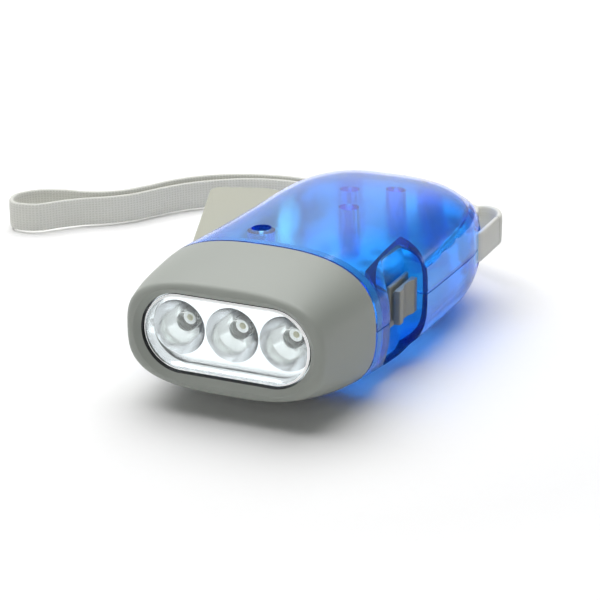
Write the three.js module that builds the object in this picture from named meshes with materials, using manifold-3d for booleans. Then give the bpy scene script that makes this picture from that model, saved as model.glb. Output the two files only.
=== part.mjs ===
// Squeeze-lever dynamo torch: three LEDs, a slide switch, a locking hand lever and a wrist strap.
// Millimetres, +Z up. The lens faces -Y, the lever swings out on -X, the switch is on +X.
// The origin is the middle of the flat land that the lower shell stands on.
import * as THREE from 'three';
import { mergeVertices } from 'three/addons/utils/BufferGeometryUtils.js';
import Module from 'manifold-3d';

const wasm = await Module();
wasm.setup();

// Outline of the whole housing, from the lens ring to the tail. Inside the torch group, Y is the
// station behind the ring's front edge and Z is the height over the parting plane.
const TORCH_LENGTH = 105;
const HALF_WIDTH = 30;
const TOP_RISE = 17.3;
const SPLIT_HEIGHT = 17.8;
const LAND_CUT = 0.4;
const BOTTOM_DROP = SPLIT_HEIGHT + LAND_CUT;
const AXIS_LIFT = 1.6;
const LAND_STATION = 56;
const HEAD_LENGTH = 23.1;

// Sections along the housing: share of the length, of the half width to the left and right, of the
// rise, of the drop, of the lift of the lens axis, and then the squareness power of the section.
const OUTLINE_SHARES = [
  [0, 0.807, 0.807, 0.743, 0.706, 1, 3],
  [0.076, 0.867, 0.853, 0.855, 0.819, 0.62, 2.9],
  [0.152, 0.9, 0.893, 0.948, 0.912, 0.25, 2.8],
  [0.22, 0.927, 0.92, 1, 0.973, 0, 2.7],
  [0.286, 0.877, 0.94, 1, 0.989, 0, 2.9],
  [0.381, 0.8, 0.96, 0.994, 1, 0, 3.2],
  [0.514, 0.753, 0.983, 0.983, 1, 0, 3.4],
  [0.667, 0.743, 1, 0.96, 0.984, 0, 3.4],
  [0.781, 0.733, 1, 0.913, 0.945, 0, 3.3],
  [0.876, 0.683, 0.933, 0.832, 0.846, 0, 3.1],
  [0.943, 0.55, 0.767, 0.717, 0.736, 0, 3],
  [0.986, 0.3, 0.5, 0.555, 0.516, 0, 2.6],
  [1, 0.1, 0.267, 0.324, 0.297, 0, 2.2],
];

// Fits and cuts
const SEAT_GAP = 0.3;
const PIN_PLAY = 0.1;
const BORE_PLAY = 0.2;
const OVERRUN = 6;
const MERGE_TOLERANCE = 0.0005;

// Facets
const OUTER_POINTS = 32;
const INNER_POINTS = 24;
const BODY_SECTIONS = 13;
const NECK_SECTIONS = 2;
const HEAD_SECTIONS = 5;
const STADIUM_POINTS = 24;
const ROUND_SIDES = 14;
const LARGE_SIDES = 26;
const CORNER_STEPS = 4;

// Grey head: ring, window and the spigot that plugs into the two shells
const HEAD_WALL = 2.2;
const RING_ROUNDING = 1;
const RING_LIP = 2.9;
const RING_BAND = 3.2;
const FUNNEL_WIDTH = 1.4;
const FUNNEL_DEPTH = 1.3;
const WINDOW_WIDTH = 2 * (Math.min(outlineAt(0).left, outlineAt(0).right) - RING_BAND);
const WINDOW_HEIGHT = 2 * (Math.min(outlineAt(0).up, outlineAt(0).down) - RING_BAND);
const SPIGOT_LENGTH = 4.9;
const SPIGOT_WALL = 1.6;
const SPIGOT_ROOT = 3;
const SPIGOT_PLAY = 0.25;

// Clear lens
const LENS_RECESS = 1.5;
const LENS_FLANGE = 0.6;
const LENS_THICKNESS = 1.2;

// Reflector with three bowls, the LEDs and their board
const REFLECTOR_MARGIN = 0.5;
const REFLECTOR_RIM = 2.2;
const PAN_DEPTH = 1.5;
const PAN_SLOPE = 1.2;
const PAN_LEDGE = 3.35;
const PAN_END = 1.4;
const BOWL_RADIUS = WINDOW_HEIGHT / 2 - PAN_LEDGE;
const BOWL_DEPTH = 6.8;
const BOWL_WALL = 1;
const BOWL_STEPS = 4;
const LED_PITCH = WINDOW_WIDTH / 2 - PAN_END - BOWL_RADIUS;
const LED_RADIUS = 2.5;
const LED_DOME_STEPS = 3;
const LED_FLANGE_RADIUS = 2.9;
const LED_FLANGE_THICKNESS = 1;
const LED_LENGTH = 8.6;
const LED_BOARD_SETBACK = 12.3;
const LED_BOARD_THICKNESS = 1.2;
const LED_BOARD_INSET = 1;
const POST_RADIUS = 1.2;

// Blue shells
const SHELL_WALL = 1.8;
const PARTING_GAP = 0.3;
const BOSS_RADIUS = 2.5;
const SCREW_BOSS_RADIUS = 3.3;

// Lever lock in its recess at the left rear
const LOCK_DEPTH = 10.8;
const LOCK_FLOOR_X = LOCK_DEPTH - HALF_WIDTH;
const LOCK_INSET = 7.4;
const LOCK_RECESS_LENGTH = 12.4;
const LOCK_BACK = TORCH_LENGTH - LOCK_INSET;
const LOCK_FRONT = LOCK_BACK - LOCK_RECESS_LENGTH;
const LOCK_HALF_HEIGHT = 4.4;
const LOCK_CORNER = 0.6;
const LOCK_TRAVEL = 4.2;
const LOCK_PAD_LENGTH = 7.4;
const LOCK_PAD_THICKNESS = 2;
const LOCK_RIBS = 3;
const LOCK_BAR_WIDTH = 2.4;
const LOCK_BAR_HEIGHT = 3;
const LOCK_BAR_REACH = 0.3;
const LOCK_BAR_TIP = LOCK_FRONT - LOCK_BAR_REACH;
const LOCK_STEM_LENGTH = 2.6;
const LOCK_HOLE_PLAY = 0.5;

// Hand lever, drawn closed from its pivot and then swung out to its rest pose
const LEVER_PIVOT_X = -19;
const LEVER_PIVOT_STATION = 34;
const LEVER_REST_ANGLE = 20;
const LEVER_HEIGHT = 20;
const LEVER_PLAY = 0.4;
const LEVER_PLATE = 1.5;
const LEVER_WALL = 1.6;
const LEVER_LOCK_GAP = 2.2;
const LEVER_LENGTH = LOCK_FRONT - LEVER_LOCK_GAP - LEVER_PIVOT_STATION;
const LEVER_FACE = 5.4;
const LEVER_REACH = 14.5;
const LEVER_HUB_RADIUS = 4.8;
const LEVER_CORNER = 3;
const LEVER_SHOULDER = 8;
const LEVER_WAIST = 12;
const LEVER_WAIST_REACH = 6.5;
const LEVER_END_CHAMFER = 3;
const LEVER_WINDOW_FRONT = LEVER_PIVOT_STATION - LEVER_HUB_RADIUS - LEVER_PLAY;
const LEVER_END_PLAY = 2;

// Gear train: a toothed sector on the lever drives two double gears and the rotor
const SECTOR_MODULE = 1;
const SECTOR_FULL_TEETH = 60;
const SECTOR_TEETH = 8;
const SECTOR_LEAD_TEETH = 2;
const SECTOR_LOW = -5.6;
const SECTOR_THICKNESS = 4;
const SECTOR_RIM = 4.5;
const SECTOR_ARM_ANGLE = 22;
const SECTOR_RIM_STEPS = 4;
const SECTOR_HUB_RADIUS = 3.2;
const SECTOR_NECK_RADIUS = 2.1;
const SECTOR_HEEL_LENGTH = 10;
const PINION_TEETH = 10;
const FIRST_WHEEL_TEETH = 40;
const FIRST_WHEEL_MODULE = 0.6;
const SECOND_WHEEL_TEETH = 36;
const SECOND_WHEEL_MODULE = 0.5;
const WHEEL_THICKNESS = 1.5;
const FIRST_GEAR_BEARING = 45;
const SECOND_GEAR_BEARING = 112;
const ROTOR_BEARING = 30;
const TOOTH_ADDENDUM_SHARE = 0.7;
const TOOTH_DEDENDUM_SHARE = 1.05;
const TOOTH_BACKLASH_SHARE = 0.22;
const PRESSURE_ANGLE = 20;
const FLANK_STEPS = 1;
const PINION_OVERLAP = 0.4;
const FIRST_HUB_RADIUS = 2.6;
const FIRST_WHEEL_LOW = 2.2;
const SECOND_WHEEL_LOW = -0.8;
const WEB_HOLES = 5;
const WEB_HOLE_SHARE = 0.2;
const WEB_CIRCLE_SHARE = 0.6;
const PIN_RADIUS = 1;
const PIN_SOCKET = 5;
const PIN_HEAD_RADIUS = 1.6;
const PIN_HEAD_HEIGHT = 0.4;
const LEVER_PIN_RADIUS = 1.25;
const LEVER_PIN_SOCKET = 2.5;

// Return spring round the lever's pivot
const WIRE_RADIUS = 0.35;
const SPRING_RADIUS = 3;
const SPRING_TURNS = 4;
const SPRING_PITCH = 1.25;
const SPRING_LOW = 0.2;
const SPRING_LEG = 13;
const CURL_STEPS = 8;
const WIRE_SIDES = 5;

// Generator: a steel cup with a ring magnet turning round a fixed claw stator
const CUP_RADIUS = 13;
const CUP_WALL = 1;
const CUP_TOP = -1.9;
const CUP_FLOOR_GAP = 4.5;
const CUP_DEPTH = CUP_TOP + BOTTOM_DROP - SHELL_WALL - CUP_FLOOR_GAP;
const CUP_DISC = 1.2;
const CUP_HOLE_RADIUS = 2;
const ROTOR_PINION_LOW = -1;
const ROTOR_COLLAR_RADIUS = 3.2;
const MAGNET_THICKNESS = 1.4;
const AIR_GAP = 0.5;
const CLAW_PLATE = 1;
const CLAW_COUNT = 6;
const CLAW_STEPS = 2;
const CLAW_ANGLE = 18;
const STATOR_HEAD_GAP = 1.1;
const STATOR_LOW = CUP_TOP - CUP_DEPTH + SEAT_GAP;
const CLAW_STACK = CUP_TOP - CUP_DISC - STATOR_HEAD_GAP - STATOR_LOW;
const BOBBIN_CORE_WALL = 1;
const BOBBIN_FLANGE = 0.5;

// Main board with its parts
const BOARD_LEFT = -1.5;
const BOARD_RIGHT = 15;
const BOARD_FRONT = 28.8;
const BOARD_BACK = 53;
const BOARD_FOOT = 1.9;
const BOARD_LOW = SHELL_WALL + BOARD_FOOT - BOTTOM_DROP;
const BOARD_THICKNESS = 1.2;
const BOARD_POST_INSET = 2;
const CELL_RADIUS = 10;
const CELL_THICKNESS = 3.2;
const CELL_RIM = 0.8;
const DIODE_RADIUS = 1.35;
const DIODE_LENGTH = 4.2;
const CAPACITOR_RADIUS = 2;
const CAPACITOR_HEIGHT = 7;
const WIRE_COVER_RADIUS = 0.6;
const WIRE_COVER_SIDES = 8;
const WIRE_COVER_STEPS = 9;
const WIRE_STUB = 1.5;
const RED_WIRE_SHARE = 0.55;
const BLACK_WIRE_SHARE = 0.6;
const COIL_WIRE_SHARE = 0.6;

// Slide switch in its recess on the right side
const RECESS_DEPTH = 6.6;
const RECESS_FLOOR_X = HALF_WIDTH - RECESS_DEPTH;
const RECESS_FRONT = 30;
const RECESS_BACK = 51;
const RECESS_HALF_HEIGHT = 13.1;
const RECESS_CORNER = 7;
const FLOOR_THICKNESS = 1.6;
const KNOB_STATION = 45;
const KNOB_TRAVEL = 4;
const KNOB_LENGTH = 11;
const KNOB_HEIGHT = 8.5;
const KNOB_FLANGE_LENGTH = 12;
const KNOB_FLANGE_HEIGHT = 10.4;
const KNOB_FLANGE = 1;
const KNOB_GROOVE = 0.6;
const KNOB_GROOVE_DEPTH = 0.8;
const KNOB_CAP = 1.7;
const KNOB_SCOOP_RADIUS = 14;
const KNOB_SCOOP_DEPTH = 0.7;
const KNOB_RIBS = 3;
const KNOB_RIB_WIDTH = 0.6;
const KNOB_RIB_DEPTH = 0.5;
const STEM_LENGTH = 4.4;
const STEM_HEIGHT = 3.6;
const STEM_DEPTH = 2.8;
const NUB_LENGTH = 1.8;
const NUB_HEIGHT = 1.4;
const NUB_DEPTH = 3.6;
const NUB_ENGAGEMENT = 1.4;
const CASE_DEPTH = 5.3;
const CASE_LENGTH = 9.4;
const CASE_HEIGHT = 4.6;
const CASE_GAP = 0.6;
const CRADLE_THICKNESS = 1.2;

// Screws
const SCREW_RADIUS = 1.25;
const SCREW_HEAD_RADIUS = 2.2;
const SCREW_HEAD_HEIGHT = 1.8;
const SCREW_POCKET_RADIUS = 2.45;
const SCREW_POCKET_SEAT = 10;
const SCREW_LENGTH = 17;
const CROSS_WIDTH = 0.8;
const CROSS_DEPTH = 1;
const CROSS_ARM_SHARE = 0.67;
const REAR_LEFT_INSET = 10;
const REAR_RIGHT_INSET = 9.2;
const NECK_SCREW = { x: -6, station: 34 };
const REAR_LEFT_SCREW = { x: -9, station: TORCH_LENGTH - REAR_LEFT_INSET };
const REAR_RIGHT_SCREW = { x: 12.5, station: TORCH_LENGTH - REAR_RIGHT_INSET };

// Wrist strap: webbing on edge, wrapped round an upright bar in the right rear corner
const STRAP_WIDTH = 8;
const STRAP_THICKNESS = 1.5;
const STRAP_BAR_DEPTH = 4;
const STRAP_BAR_INSET = 16.4;
const STRAP_BAR_X = HALF_WIDTH - STRAP_BAR_DEPTH;
const STRAP_BAR_STATION = TORCH_LENGTH - STRAP_BAR_INSET;
const STRAP_BAR_RADIUS = 2.2;
const STRAP_WINDOW_HALF_HEIGHT = 5;
const STRAP_WRAP_LENGTH = 12;
const STRAP_WRAP_BACK = STRAP_BAR_STATION + STRAP_WRAP_LENGTH;
const STRAP_BAR_OVERLAP = 3;
const WRAP_STEPS = 10;
const STRAP_STEPS = 60;
// Free route of the strap's middle line, in the part's own frame, from the outer ply back to the inner one
const STRAP_ROUTE = [
  [29.25, 44.9, 17.8],
  [29.25, 46.4, 17.8],
  [27.8, 50, 17.7],
  [24, 54, 17],
  [14, 62.2, 12.5],
  [1, 71.5, 7.5],
  [-14, 80.5, 4.4],
  [-31, 89, 4.4],
  [-47, 93, 4.4],
  [-62, 90.5, 4.4],
  [-73, 84.5, 4.4],
  [-80, 77, 4.4],
  [-84.5, 69, 4.4],
  [-89.5, 62, 4.4],
  [-97, 57.5, 4.4],
  [-105, 56, 4.4],
  [-112, 52.5, 4.4],
  [-115, 46.5, 4.4],
  [-112, 41, 4.4],
  [-105.5, 41.5, 4.4],
  [-100.5, 46.8, 4.4],
  [-96, 51.2, 4.4],
  [-90.5, 55, 4.4],
  [-84.8, 60.5, 4.4],
  [-80.3, 68, 4.4],
  [-75.5, 75, 4.4],
  [-69, 81.3, 4.4],
  [-60, 86.8, 4.4],
  [-48, 89.3, 4.4],
  [-34, 86, 4.4],
  [-18, 77.5, 4.6],
  [-4, 68, 8.2],
  [8, 60, 13],
  [16.5, 54.5, 17],
  [21.2, 50.8, 17.8],
  [22.75, 47.2, 17.8],
  [22.75, 44.9, 17.8],
];

const COLOURS = {
  head: [0x8f9791, 0.5, 0],
  blue: [0x1447d8, 0.15, 0],
  lever: [0xbcbeb1, 0.5, 0],
  clear: [0xeef3f4, 0.05, 0],
  chrome: [0xe8eaec, 0.12, 1],
  led: [0xf2f3ee, 0.1, 0],
  board: [0x2e6b3c, 0.55, 0],
  nylon: [0xf1eee4, 0.45, 0],
  steel: [0xb9bcc0, 0.3, 1],
  magnet: [0x3c3c40, 0.5, 0.4],
  copper: [0xb8622b, 0.35, 0.9],
  black: [0x1c1c1e, 0.5, 0],
  knob: [0x80807a, 0.5, 0],
  red: [0xc22a20, 0.45, 0],
  strap: [0xd3d4ca, 0.9, 0],
};

const torch = new THREE.Group();
torch.position.set(0, -LAND_STATION, SPLIT_HEIGHT);
const part = new THREE.Group();
part.add(torch);

function addMesh(parent, name, geometry, colour) {
  const [hex, roughness, metalness] = COLOURS[colour];
  const flat = geometry.index ? geometry.toNonIndexed() : geometry;
  flat.computeVertexNormals();
  const material = new THREE.MeshStandardMaterial({ color: hex, roughness, metalness });
  const mesh = new THREE.Mesh(flat, material);
  mesh.name = name;
  parent.add(mesh);
  return mesh;
}

// A closed geometry as a solid that can be joined and cut
function toSolid(geometry) {
  const plain = geometry.clone();
  plain.deleteAttribute('normal');
  plain.deleteAttribute('uv');
  const merged = mergeVertices(plain, MERGE_TOLERANCE);
  const corners = merged.index.array;
  const triangles = [];
  for (let i = 0; i < corners.length; i += 3) {
    const [a, b, c] = [corners[i], corners[i + 1], corners[i + 2]];
    if (a !== b && b !== c && c !== a) triangles.push(a, b, c);
  }
  const mesh = new wasm.Mesh({
    numProp: 3,
    vertProperties: new Float32Array(merged.attributes.position.array),
    triVerts: new Uint32Array(triangles),
  });
  return new wasm.Manifold(mesh);
}

function toGeometry(solid) {
  const mesh = solid.getMesh();
  const geometry = new THREE.BufferGeometry();
  geometry.setAttribute('position', new THREE.BufferAttribute(mesh.vertProperties, 3));
  geometry.setIndex(new THREE.BufferAttribute(mesh.triVerts, 1));
  return geometry;
}

function join(...solids) {
  return solids.reduce((all, next) => all.add(next));
}

function cut(solid, ...tools) {
  return tools.reduce((left, tool) => left.subtract(tool), solid);
}

function box(x0, x1, y0, y1, z0, z1) {
  const geometry = new THREE.BoxGeometry(x1 - x0, y1 - y0, z1 - z0);
  geometry.translate((x0 + x1) / 2, (y0 + y1) / 2, (z0 + z1) / 2);
  return toSolid(geometry);
}

// An upright round rod between two heights
function rod(x, y, low, high, radius, sides = ROUND_SIDES) {
  const geometry = new THREE.CylinderGeometry(radius, radius, high - low, sides);
  geometry.rotateX(Math.PI / 2);
  geometry.translate(x, y, (low + high) / 2);
  return toSolid(geometry);
}

// A shape drawn in plan, raised between two heights
function raised(shape, low, high) {
  const geometry = new THREE.ExtrudeGeometry(shape, { depth: high - low, bevelEnabled: false });
  geometry.translate(0, 0, low);
  return toSolid(geometry);
}

// A shape drawn in station and height, pushed out along X
function sideways(shape, low, high) {
  const geometry = new THREE.ExtrudeGeometry(shape, { depth: high - low, bevelEnabled: false });
  const turn = new THREE.Matrix4().makeBasis(
    new THREE.Vector3(0, 1, 0), new THREE.Vector3(0, 0, 1), new THREE.Vector3(1, 0, 0));
  geometry.applyMatrix4(turn);
  geometry.translate(low, 0, 0);
  return toSolid(geometry);
}

// Profile points of radius and station, revolved about an axis along Y
function turnedAlongY(points, x, z, sides) {
  const profile = points.map(([radius, station]) => new THREE.Vector2(radius, station));
  const geometry = new THREE.LatheGeometry(profile, sides);
  geometry.translate(x, 0, z);
  return outward(geometry);
}

// Profile points of radius and height, revolved about an upright axis
function turned(points, sides = LARGE_SIDES) {
  const profile = points.map(([radius, height]) => new THREE.Vector2(radius, height));
  const geometry = new THREE.LatheGeometry(profile, sides);
  geometry.rotateX(Math.PI / 2);
  return outward(geometry);
}

// A solid whose faces point out, whichever way its profile was drawn
function outward(geometry) {
  if (signedVolume(geometry) < 0) flip(geometry);
  return toSolid(geometry);
}

function signedVolume(geometry) {
  const position = geometry.attributes.position;
  const index = geometry.index;
  const corner = [new THREE.Vector3(), new THREE.Vector3(), new THREE.Vector3()];
  let volume = 0;
  for (let i = 0; i < index.count; i += 3) {
    corner.forEach((point, k) => point.fromBufferAttribute(position, index.getX(i + k)));
    volume += corner[0].dot(corner[1].clone().cross(corner[2])) / 6;
  }
  return volume;
}

function flip(geometry) {
  const index = geometry.index;
  for (let i = 0; i < index.count; i += 3) {
    const second = index.getX(i + 1);
    index.setX(i + 1, index.getX(i + 2));
    index.setX(i + 2, second);
  }
}

// A skin over rings of equally many points that follow one another along Y, closed at both ends
function loft(rings) {
  const size = rings[0].length;
  const positions = rings.flat().flatMap((point) => [point.x, point.y, point.z]);
  const index = [];
  for (let r = 0; r < rings.length - 1; r++) {
    for (let i = 0; i < size; i++) {
      const a = r * size + i;
      const b = r * size + (i + 1) % size;
      index.push(a, b + size, b, a, a + size, b + size);
    }
  }
  for (const [r, front] of [[0, true], [rings.length - 1, false]]) {
    const centre = new THREE.Vector3();
    rings[r].forEach((point) => centre.addScaledVector(point, 1 / size));
    const middle = positions.length / 3;
    positions.push(centre.x, centre.y, centre.z);
    for (let i = 0; i < size; i++) {
      const a = r * size + i;
      const b = r * size + (i + 1) % size;
      index.push(middle, front ? a : b, front ? b : a);
    }
  }
  const geometry = new THREE.BufferGeometry();
  geometry.setAttribute('position', new THREE.Float32BufferAttribute(positions, 3));
  geometry.setIndex(index);
  return outward(geometry);
}

// The outline's row at a station, by smooth interpolation between the rows of the table
function outlineRow(station) {
  const rows = OUTLINE_SHARES;
  const share = Math.min(Math.max(station / TORCH_LENGTH, 0), 1);
  const next = Math.max(rows.findIndex((row) => row[0] >= share), 1);
  const low = rows[next - 1];
  const high = rows[next];
  const span = high[0] - low[0];
  const t = (share - low[0]) / span;
  const before = rows[Math.max(next - 2, 0)];
  const after = rows[Math.min(next + 1, rows.length - 1)];
  return low.map((value, column) => {
    const startSlope = (high[column] - before[column]) / (high[0] - before[0]) * span;
    const endSlope = (after[column] - low[column]) / (after[0] - low[0]) * span;
    const rise = high[column] - value;
    const bend = 3 * rise - 2 * startSlope - endSlope;
    const ease = startSlope + endSlope - 2 * rise;
    return value + t * (startSlope + t * (bend + t * ease));
  });
}

// Real sizes of the outline at a station, drawn in by an inset and looked up a little ahead
function outlineAt(station, inset = 0, ahead = 0) {
  const [, left, right, up, down, lift, power] = outlineRow(station + ahead);
  return {
    left: left * HALF_WIDTH - inset,
    right: right * HALF_WIDTH - inset,
    up: up * TOP_RISE - inset,
    down: down * BOTTOM_DROP - inset,
    lift: lift * AXIS_LIFT,
    power,
  };
}

function sectionRing(station, points, inset = 0, ahead = 0) {
  const size = outlineAt(station, inset, ahead);
  const ring = [];
  for (let i = 0; i < points; i++) {
    const angle = 2 * Math.PI * i / points;
    const across = Math.cos(angle);
    const upward = Math.sin(angle);
    const x = Math.abs(across) ** (2 / size.power) * (across < 0 ? -size.left : size.right);
    const z = Math.abs(upward) ** (2 / size.power) * (upward < 0 ? -size.down : size.up);
    ring.push(new THREE.Vector3(x, station, size.lift + z));
  }
  return ring;
}

// Upright outline with round ends, at a station, centred on the lens axis
function stadiumRing(width, height, station, points = STADIUM_POINTS) {
  const radius = height / 2;
  const ring = [];
  for (let i = 0; i < points; i++) {
    const angle = 2 * Math.PI * (i + 0.5) / points - Math.PI / 2;
    const side = i < points / 2 ? 1 : -1;
    const x = radius * Math.cos(angle) + side * (width / 2 - radius);
    ring.push(new THREE.Vector3(x, station, AXIS_LIFT + radius * Math.sin(angle)));
  }
  return ring;
}

function stadiumSlab(width, height, front, back) {
  return loft([stadiumRing(width, height, front), stadiumRing(width, height, back)]);
}

// A rectangle with round corners, centred between its limits
function roundedBox(low, high, bottom, top, radius) {
  const shape = new THREE.Shape();
  shape.moveTo(low + radius, bottom);
  shape.absarc(high - radius, bottom + radius, radius, -Math.PI / 2, 0, false);
  shape.absarc(high - radius, top - radius, radius, 0, Math.PI / 2, false);
  shape.absarc(low + radius, top - radius, radius, Math.PI / 2, Math.PI, false);
  shape.absarc(low + radius, bottom + radius, radius, Math.PI, 1.5 * Math.PI, false);
  return new THREE.Shape(shape.getPoints(CORNER_STEPS));
}

// A tube of round section along hand-placed points
function tubeAlong(points, radius, sides, steps) {
  const section = new THREE.Shape();
  for (let i = 0; i < sides; i++) {
    const angle = 2 * Math.PI * i / sides;
    const x = radius * Math.cos(angle);
    const y = radius * Math.sin(angle);
    if (i === 0) section.moveTo(x, y);
    else section.lineTo(x, y);
  }
  const path = new THREE.CatmullRomCurve3(points);
  return new THREE.ExtrudeGeometry(section, { extrudePath: path, steps, bevelEnabled: false });
}

// Places that several pieces share
const windowBack = RING_LIP;
const lensFront = windowBack + SEAT_GAP;
const lensBack = lensFront + LENS_THICKNESS;
const reflectorFront = lensBack + SEAT_GAP;
const bowlFront = reflectorFront + PAN_DEPTH;
const bowlBack = bowlFront + BOWL_DEPTH;
const ledBoardFront = reflectorFront + LED_BOARD_SETBACK;
const shellFront = HEAD_LENGTH + PARTING_GAP;
const leverHalf = LEVER_HEIGHT / 2;
const leverWindowHalf = leverHalf + LEVER_PLAY;
const leverWindowBack = LEVER_PIVOT_STATION + LEVER_LENGTH + LEVER_END_PLAY;
const sectorPitchRadius = SECTOR_MODULE * SECTOR_FULL_TEETH / 2;
const drivePinionRadius = SECTOR_MODULE * PINION_TEETH / 2;
const firstWheelRadius = FIRST_WHEEL_MODULE * FIRST_WHEEL_TEETH / 2;
const secondPinionRadius = FIRST_WHEEL_MODULE * PINION_TEETH / 2;
const secondWheelRadius = SECOND_WHEEL_MODULE * SECOND_WHEEL_TEETH / 2;
const rotorPinionRadius = SECOND_WHEEL_MODULE * PINION_TEETH / 2;
const leverPivot = { x: LEVER_PIVOT_X, station: LEVER_PIVOT_STATION };
const firstAxis = stepFrom(leverPivot, sectorPitchRadius + drivePinionRadius, FIRST_GEAR_BEARING);
const secondAxis = stepFrom(firstAxis, firstWheelRadius + secondPinionRadius, SECOND_GEAR_BEARING);
const rotorAxis = stepFrom(secondAxis, secondWheelRadius + rotorPinionRadius, ROTOR_BEARING);
const firstPinionLow = SECTOR_LOW - SEAT_GAP;
const firstPinionHigh = SECTOR_LOW + SECTOR_THICKNESS + PINION_OVERLAP;
const firstGearHigh = FIRST_WHEEL_LOW + WHEEL_THICKNESS;
const secondPinionLow = SECOND_WHEEL_LOW + WHEEL_THICKNESS;
const secondGearHigh = firstGearHigh + PINION_OVERLAP;
const rotorPinionHigh = secondPinionLow + WHEEL_THICKNESS;
const statorTop = STATOR_LOW + CLAW_STACK;
const magnetOuter = CUP_RADIUS - CUP_WALL - SEAT_GAP;
const magnetInner = magnetOuter - MAGNET_THICKNESS;
const clawOuter = magnetInner - AIR_GAP;
const cupLow = CUP_TOP - CUP_DEPTH;
const boardTop = BOARD_LOW + BOARD_THICKNESS;
const knobBack = RECESS_FLOOR_X + SEAT_GAP;
const stemTip = knobBack - STEM_DEPTH;
const caseRight = stemTip - CASE_GAP;
const lockPadBack = LOCK_BACK - SEAT_GAP;
const lockBarRight = LOCK_FLOOR_X + FLOOR_THICKNESS + SEAT_GAP + LOCK_BAR_WIDTH;
const lockStemBack = lockPadBack - LOCK_PAD_LENGTH / 2 + LOCK_STEM_LENGTH / 2;
const wrapRadius = STRAP_BAR_RADIUS + SEAT_GAP + STRAP_THICKNESS / 2;

function stepFrom(place, distance, bearing) {
  const angle = THREE.MathUtils.degToRad(bearing);
  return {
    x: place.x + distance * Math.cos(angle),
    station: place.station + distance * Math.sin(angle),
  };
}

// Grey head: one loft with the housing, hollow, with a funnel round the window and a spigot behind
function headBezel() {
  const outerRings = [
    sectionRing(0, OUTER_POINTS, RING_ROUNDING, 0),
    sectionRing(RING_ROUNDING / 3, OUTER_POINTS, RING_ROUNDING / 3),
  ];
  for (let i = 0; i <= HEAD_SECTIONS; i++) {
    const station = RING_ROUNDING + (HEAD_LENGTH - RING_ROUNDING) * i / HEAD_SECTIONS;
    outerRings.push(sectionRing(station, OUTER_POINTS));
  }
  const spigotInset = SHELL_WALL + SPIGOT_PLAY;
  const spigotBack = HEAD_LENGTH + SPIGOT_LENGTH;
  const spigotFront = HEAD_LENGTH - SPIGOT_ROOT;
  const spigot = bodyTube(spigotFront, spigotBack, spigotInset);
  const frontHollow = bodyTube(windowBack, spigotFront, HEAD_WALL);
  const rearHollow = bodyTube(spigotFront - HEAD_WALL, spigotBack + OVERRUN, spigotInset + SPIGOT_WALL);
  const window = stadiumSlab(WINDOW_WIDTH, WINDOW_HEIGHT, -OVERRUN, windowBack + HEAD_WALL);
  const wide = 2 * FUNNEL_WIDTH * (1 + OVERRUN / FUNNEL_DEPTH);
  const funnel = loft([
    stadiumRing(WINDOW_WIDTH + wide, WINDOW_HEIGHT + wide, -OVERRUN),
    stadiumRing(WINDOW_WIDTH, WINDOW_HEIGHT, FUNNEL_DEPTH),
  ]);
  return toGeometry(cut(join(loft(outerRings), spigot), frontHollow, rearHollow, window, funnel));
}

function bodyTube(front, back, inset) {
  const rings = [];
  const sections = Math.ceil(HEAD_SECTIONS / 2);
  for (let i = 0; i <= sections; i++) {
    const station = front + (back - front) * i / sections;
    rings.push(sectionRing(station, INNER_POINTS, inset));
  }
  return loft(rings);
}

// Clear pane that stands in the window, on a flange behind the ring's lip
function frontLens() {
  const paneWidth = WINDOW_WIDTH - 2 * SEAT_GAP;
  const paneHeight = WINDOW_HEIGHT - 2 * SEAT_GAP;
  const pane = stadiumSlab(paneWidth, paneHeight, LENS_RECESS, lensBack);
  const flangeWidth = WINDOW_WIDTH + 2 * LENS_FLANGE;
  const flange = stadiumSlab(flangeWidth, WINDOW_HEIGHT + 2 * LENS_FLANGE, lensFront, lensBack);
  return toGeometry(join(pane, flange));
}

function ledPlaces() {
  return [-LED_PITCH, 0, LED_PITCH];
}

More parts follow.
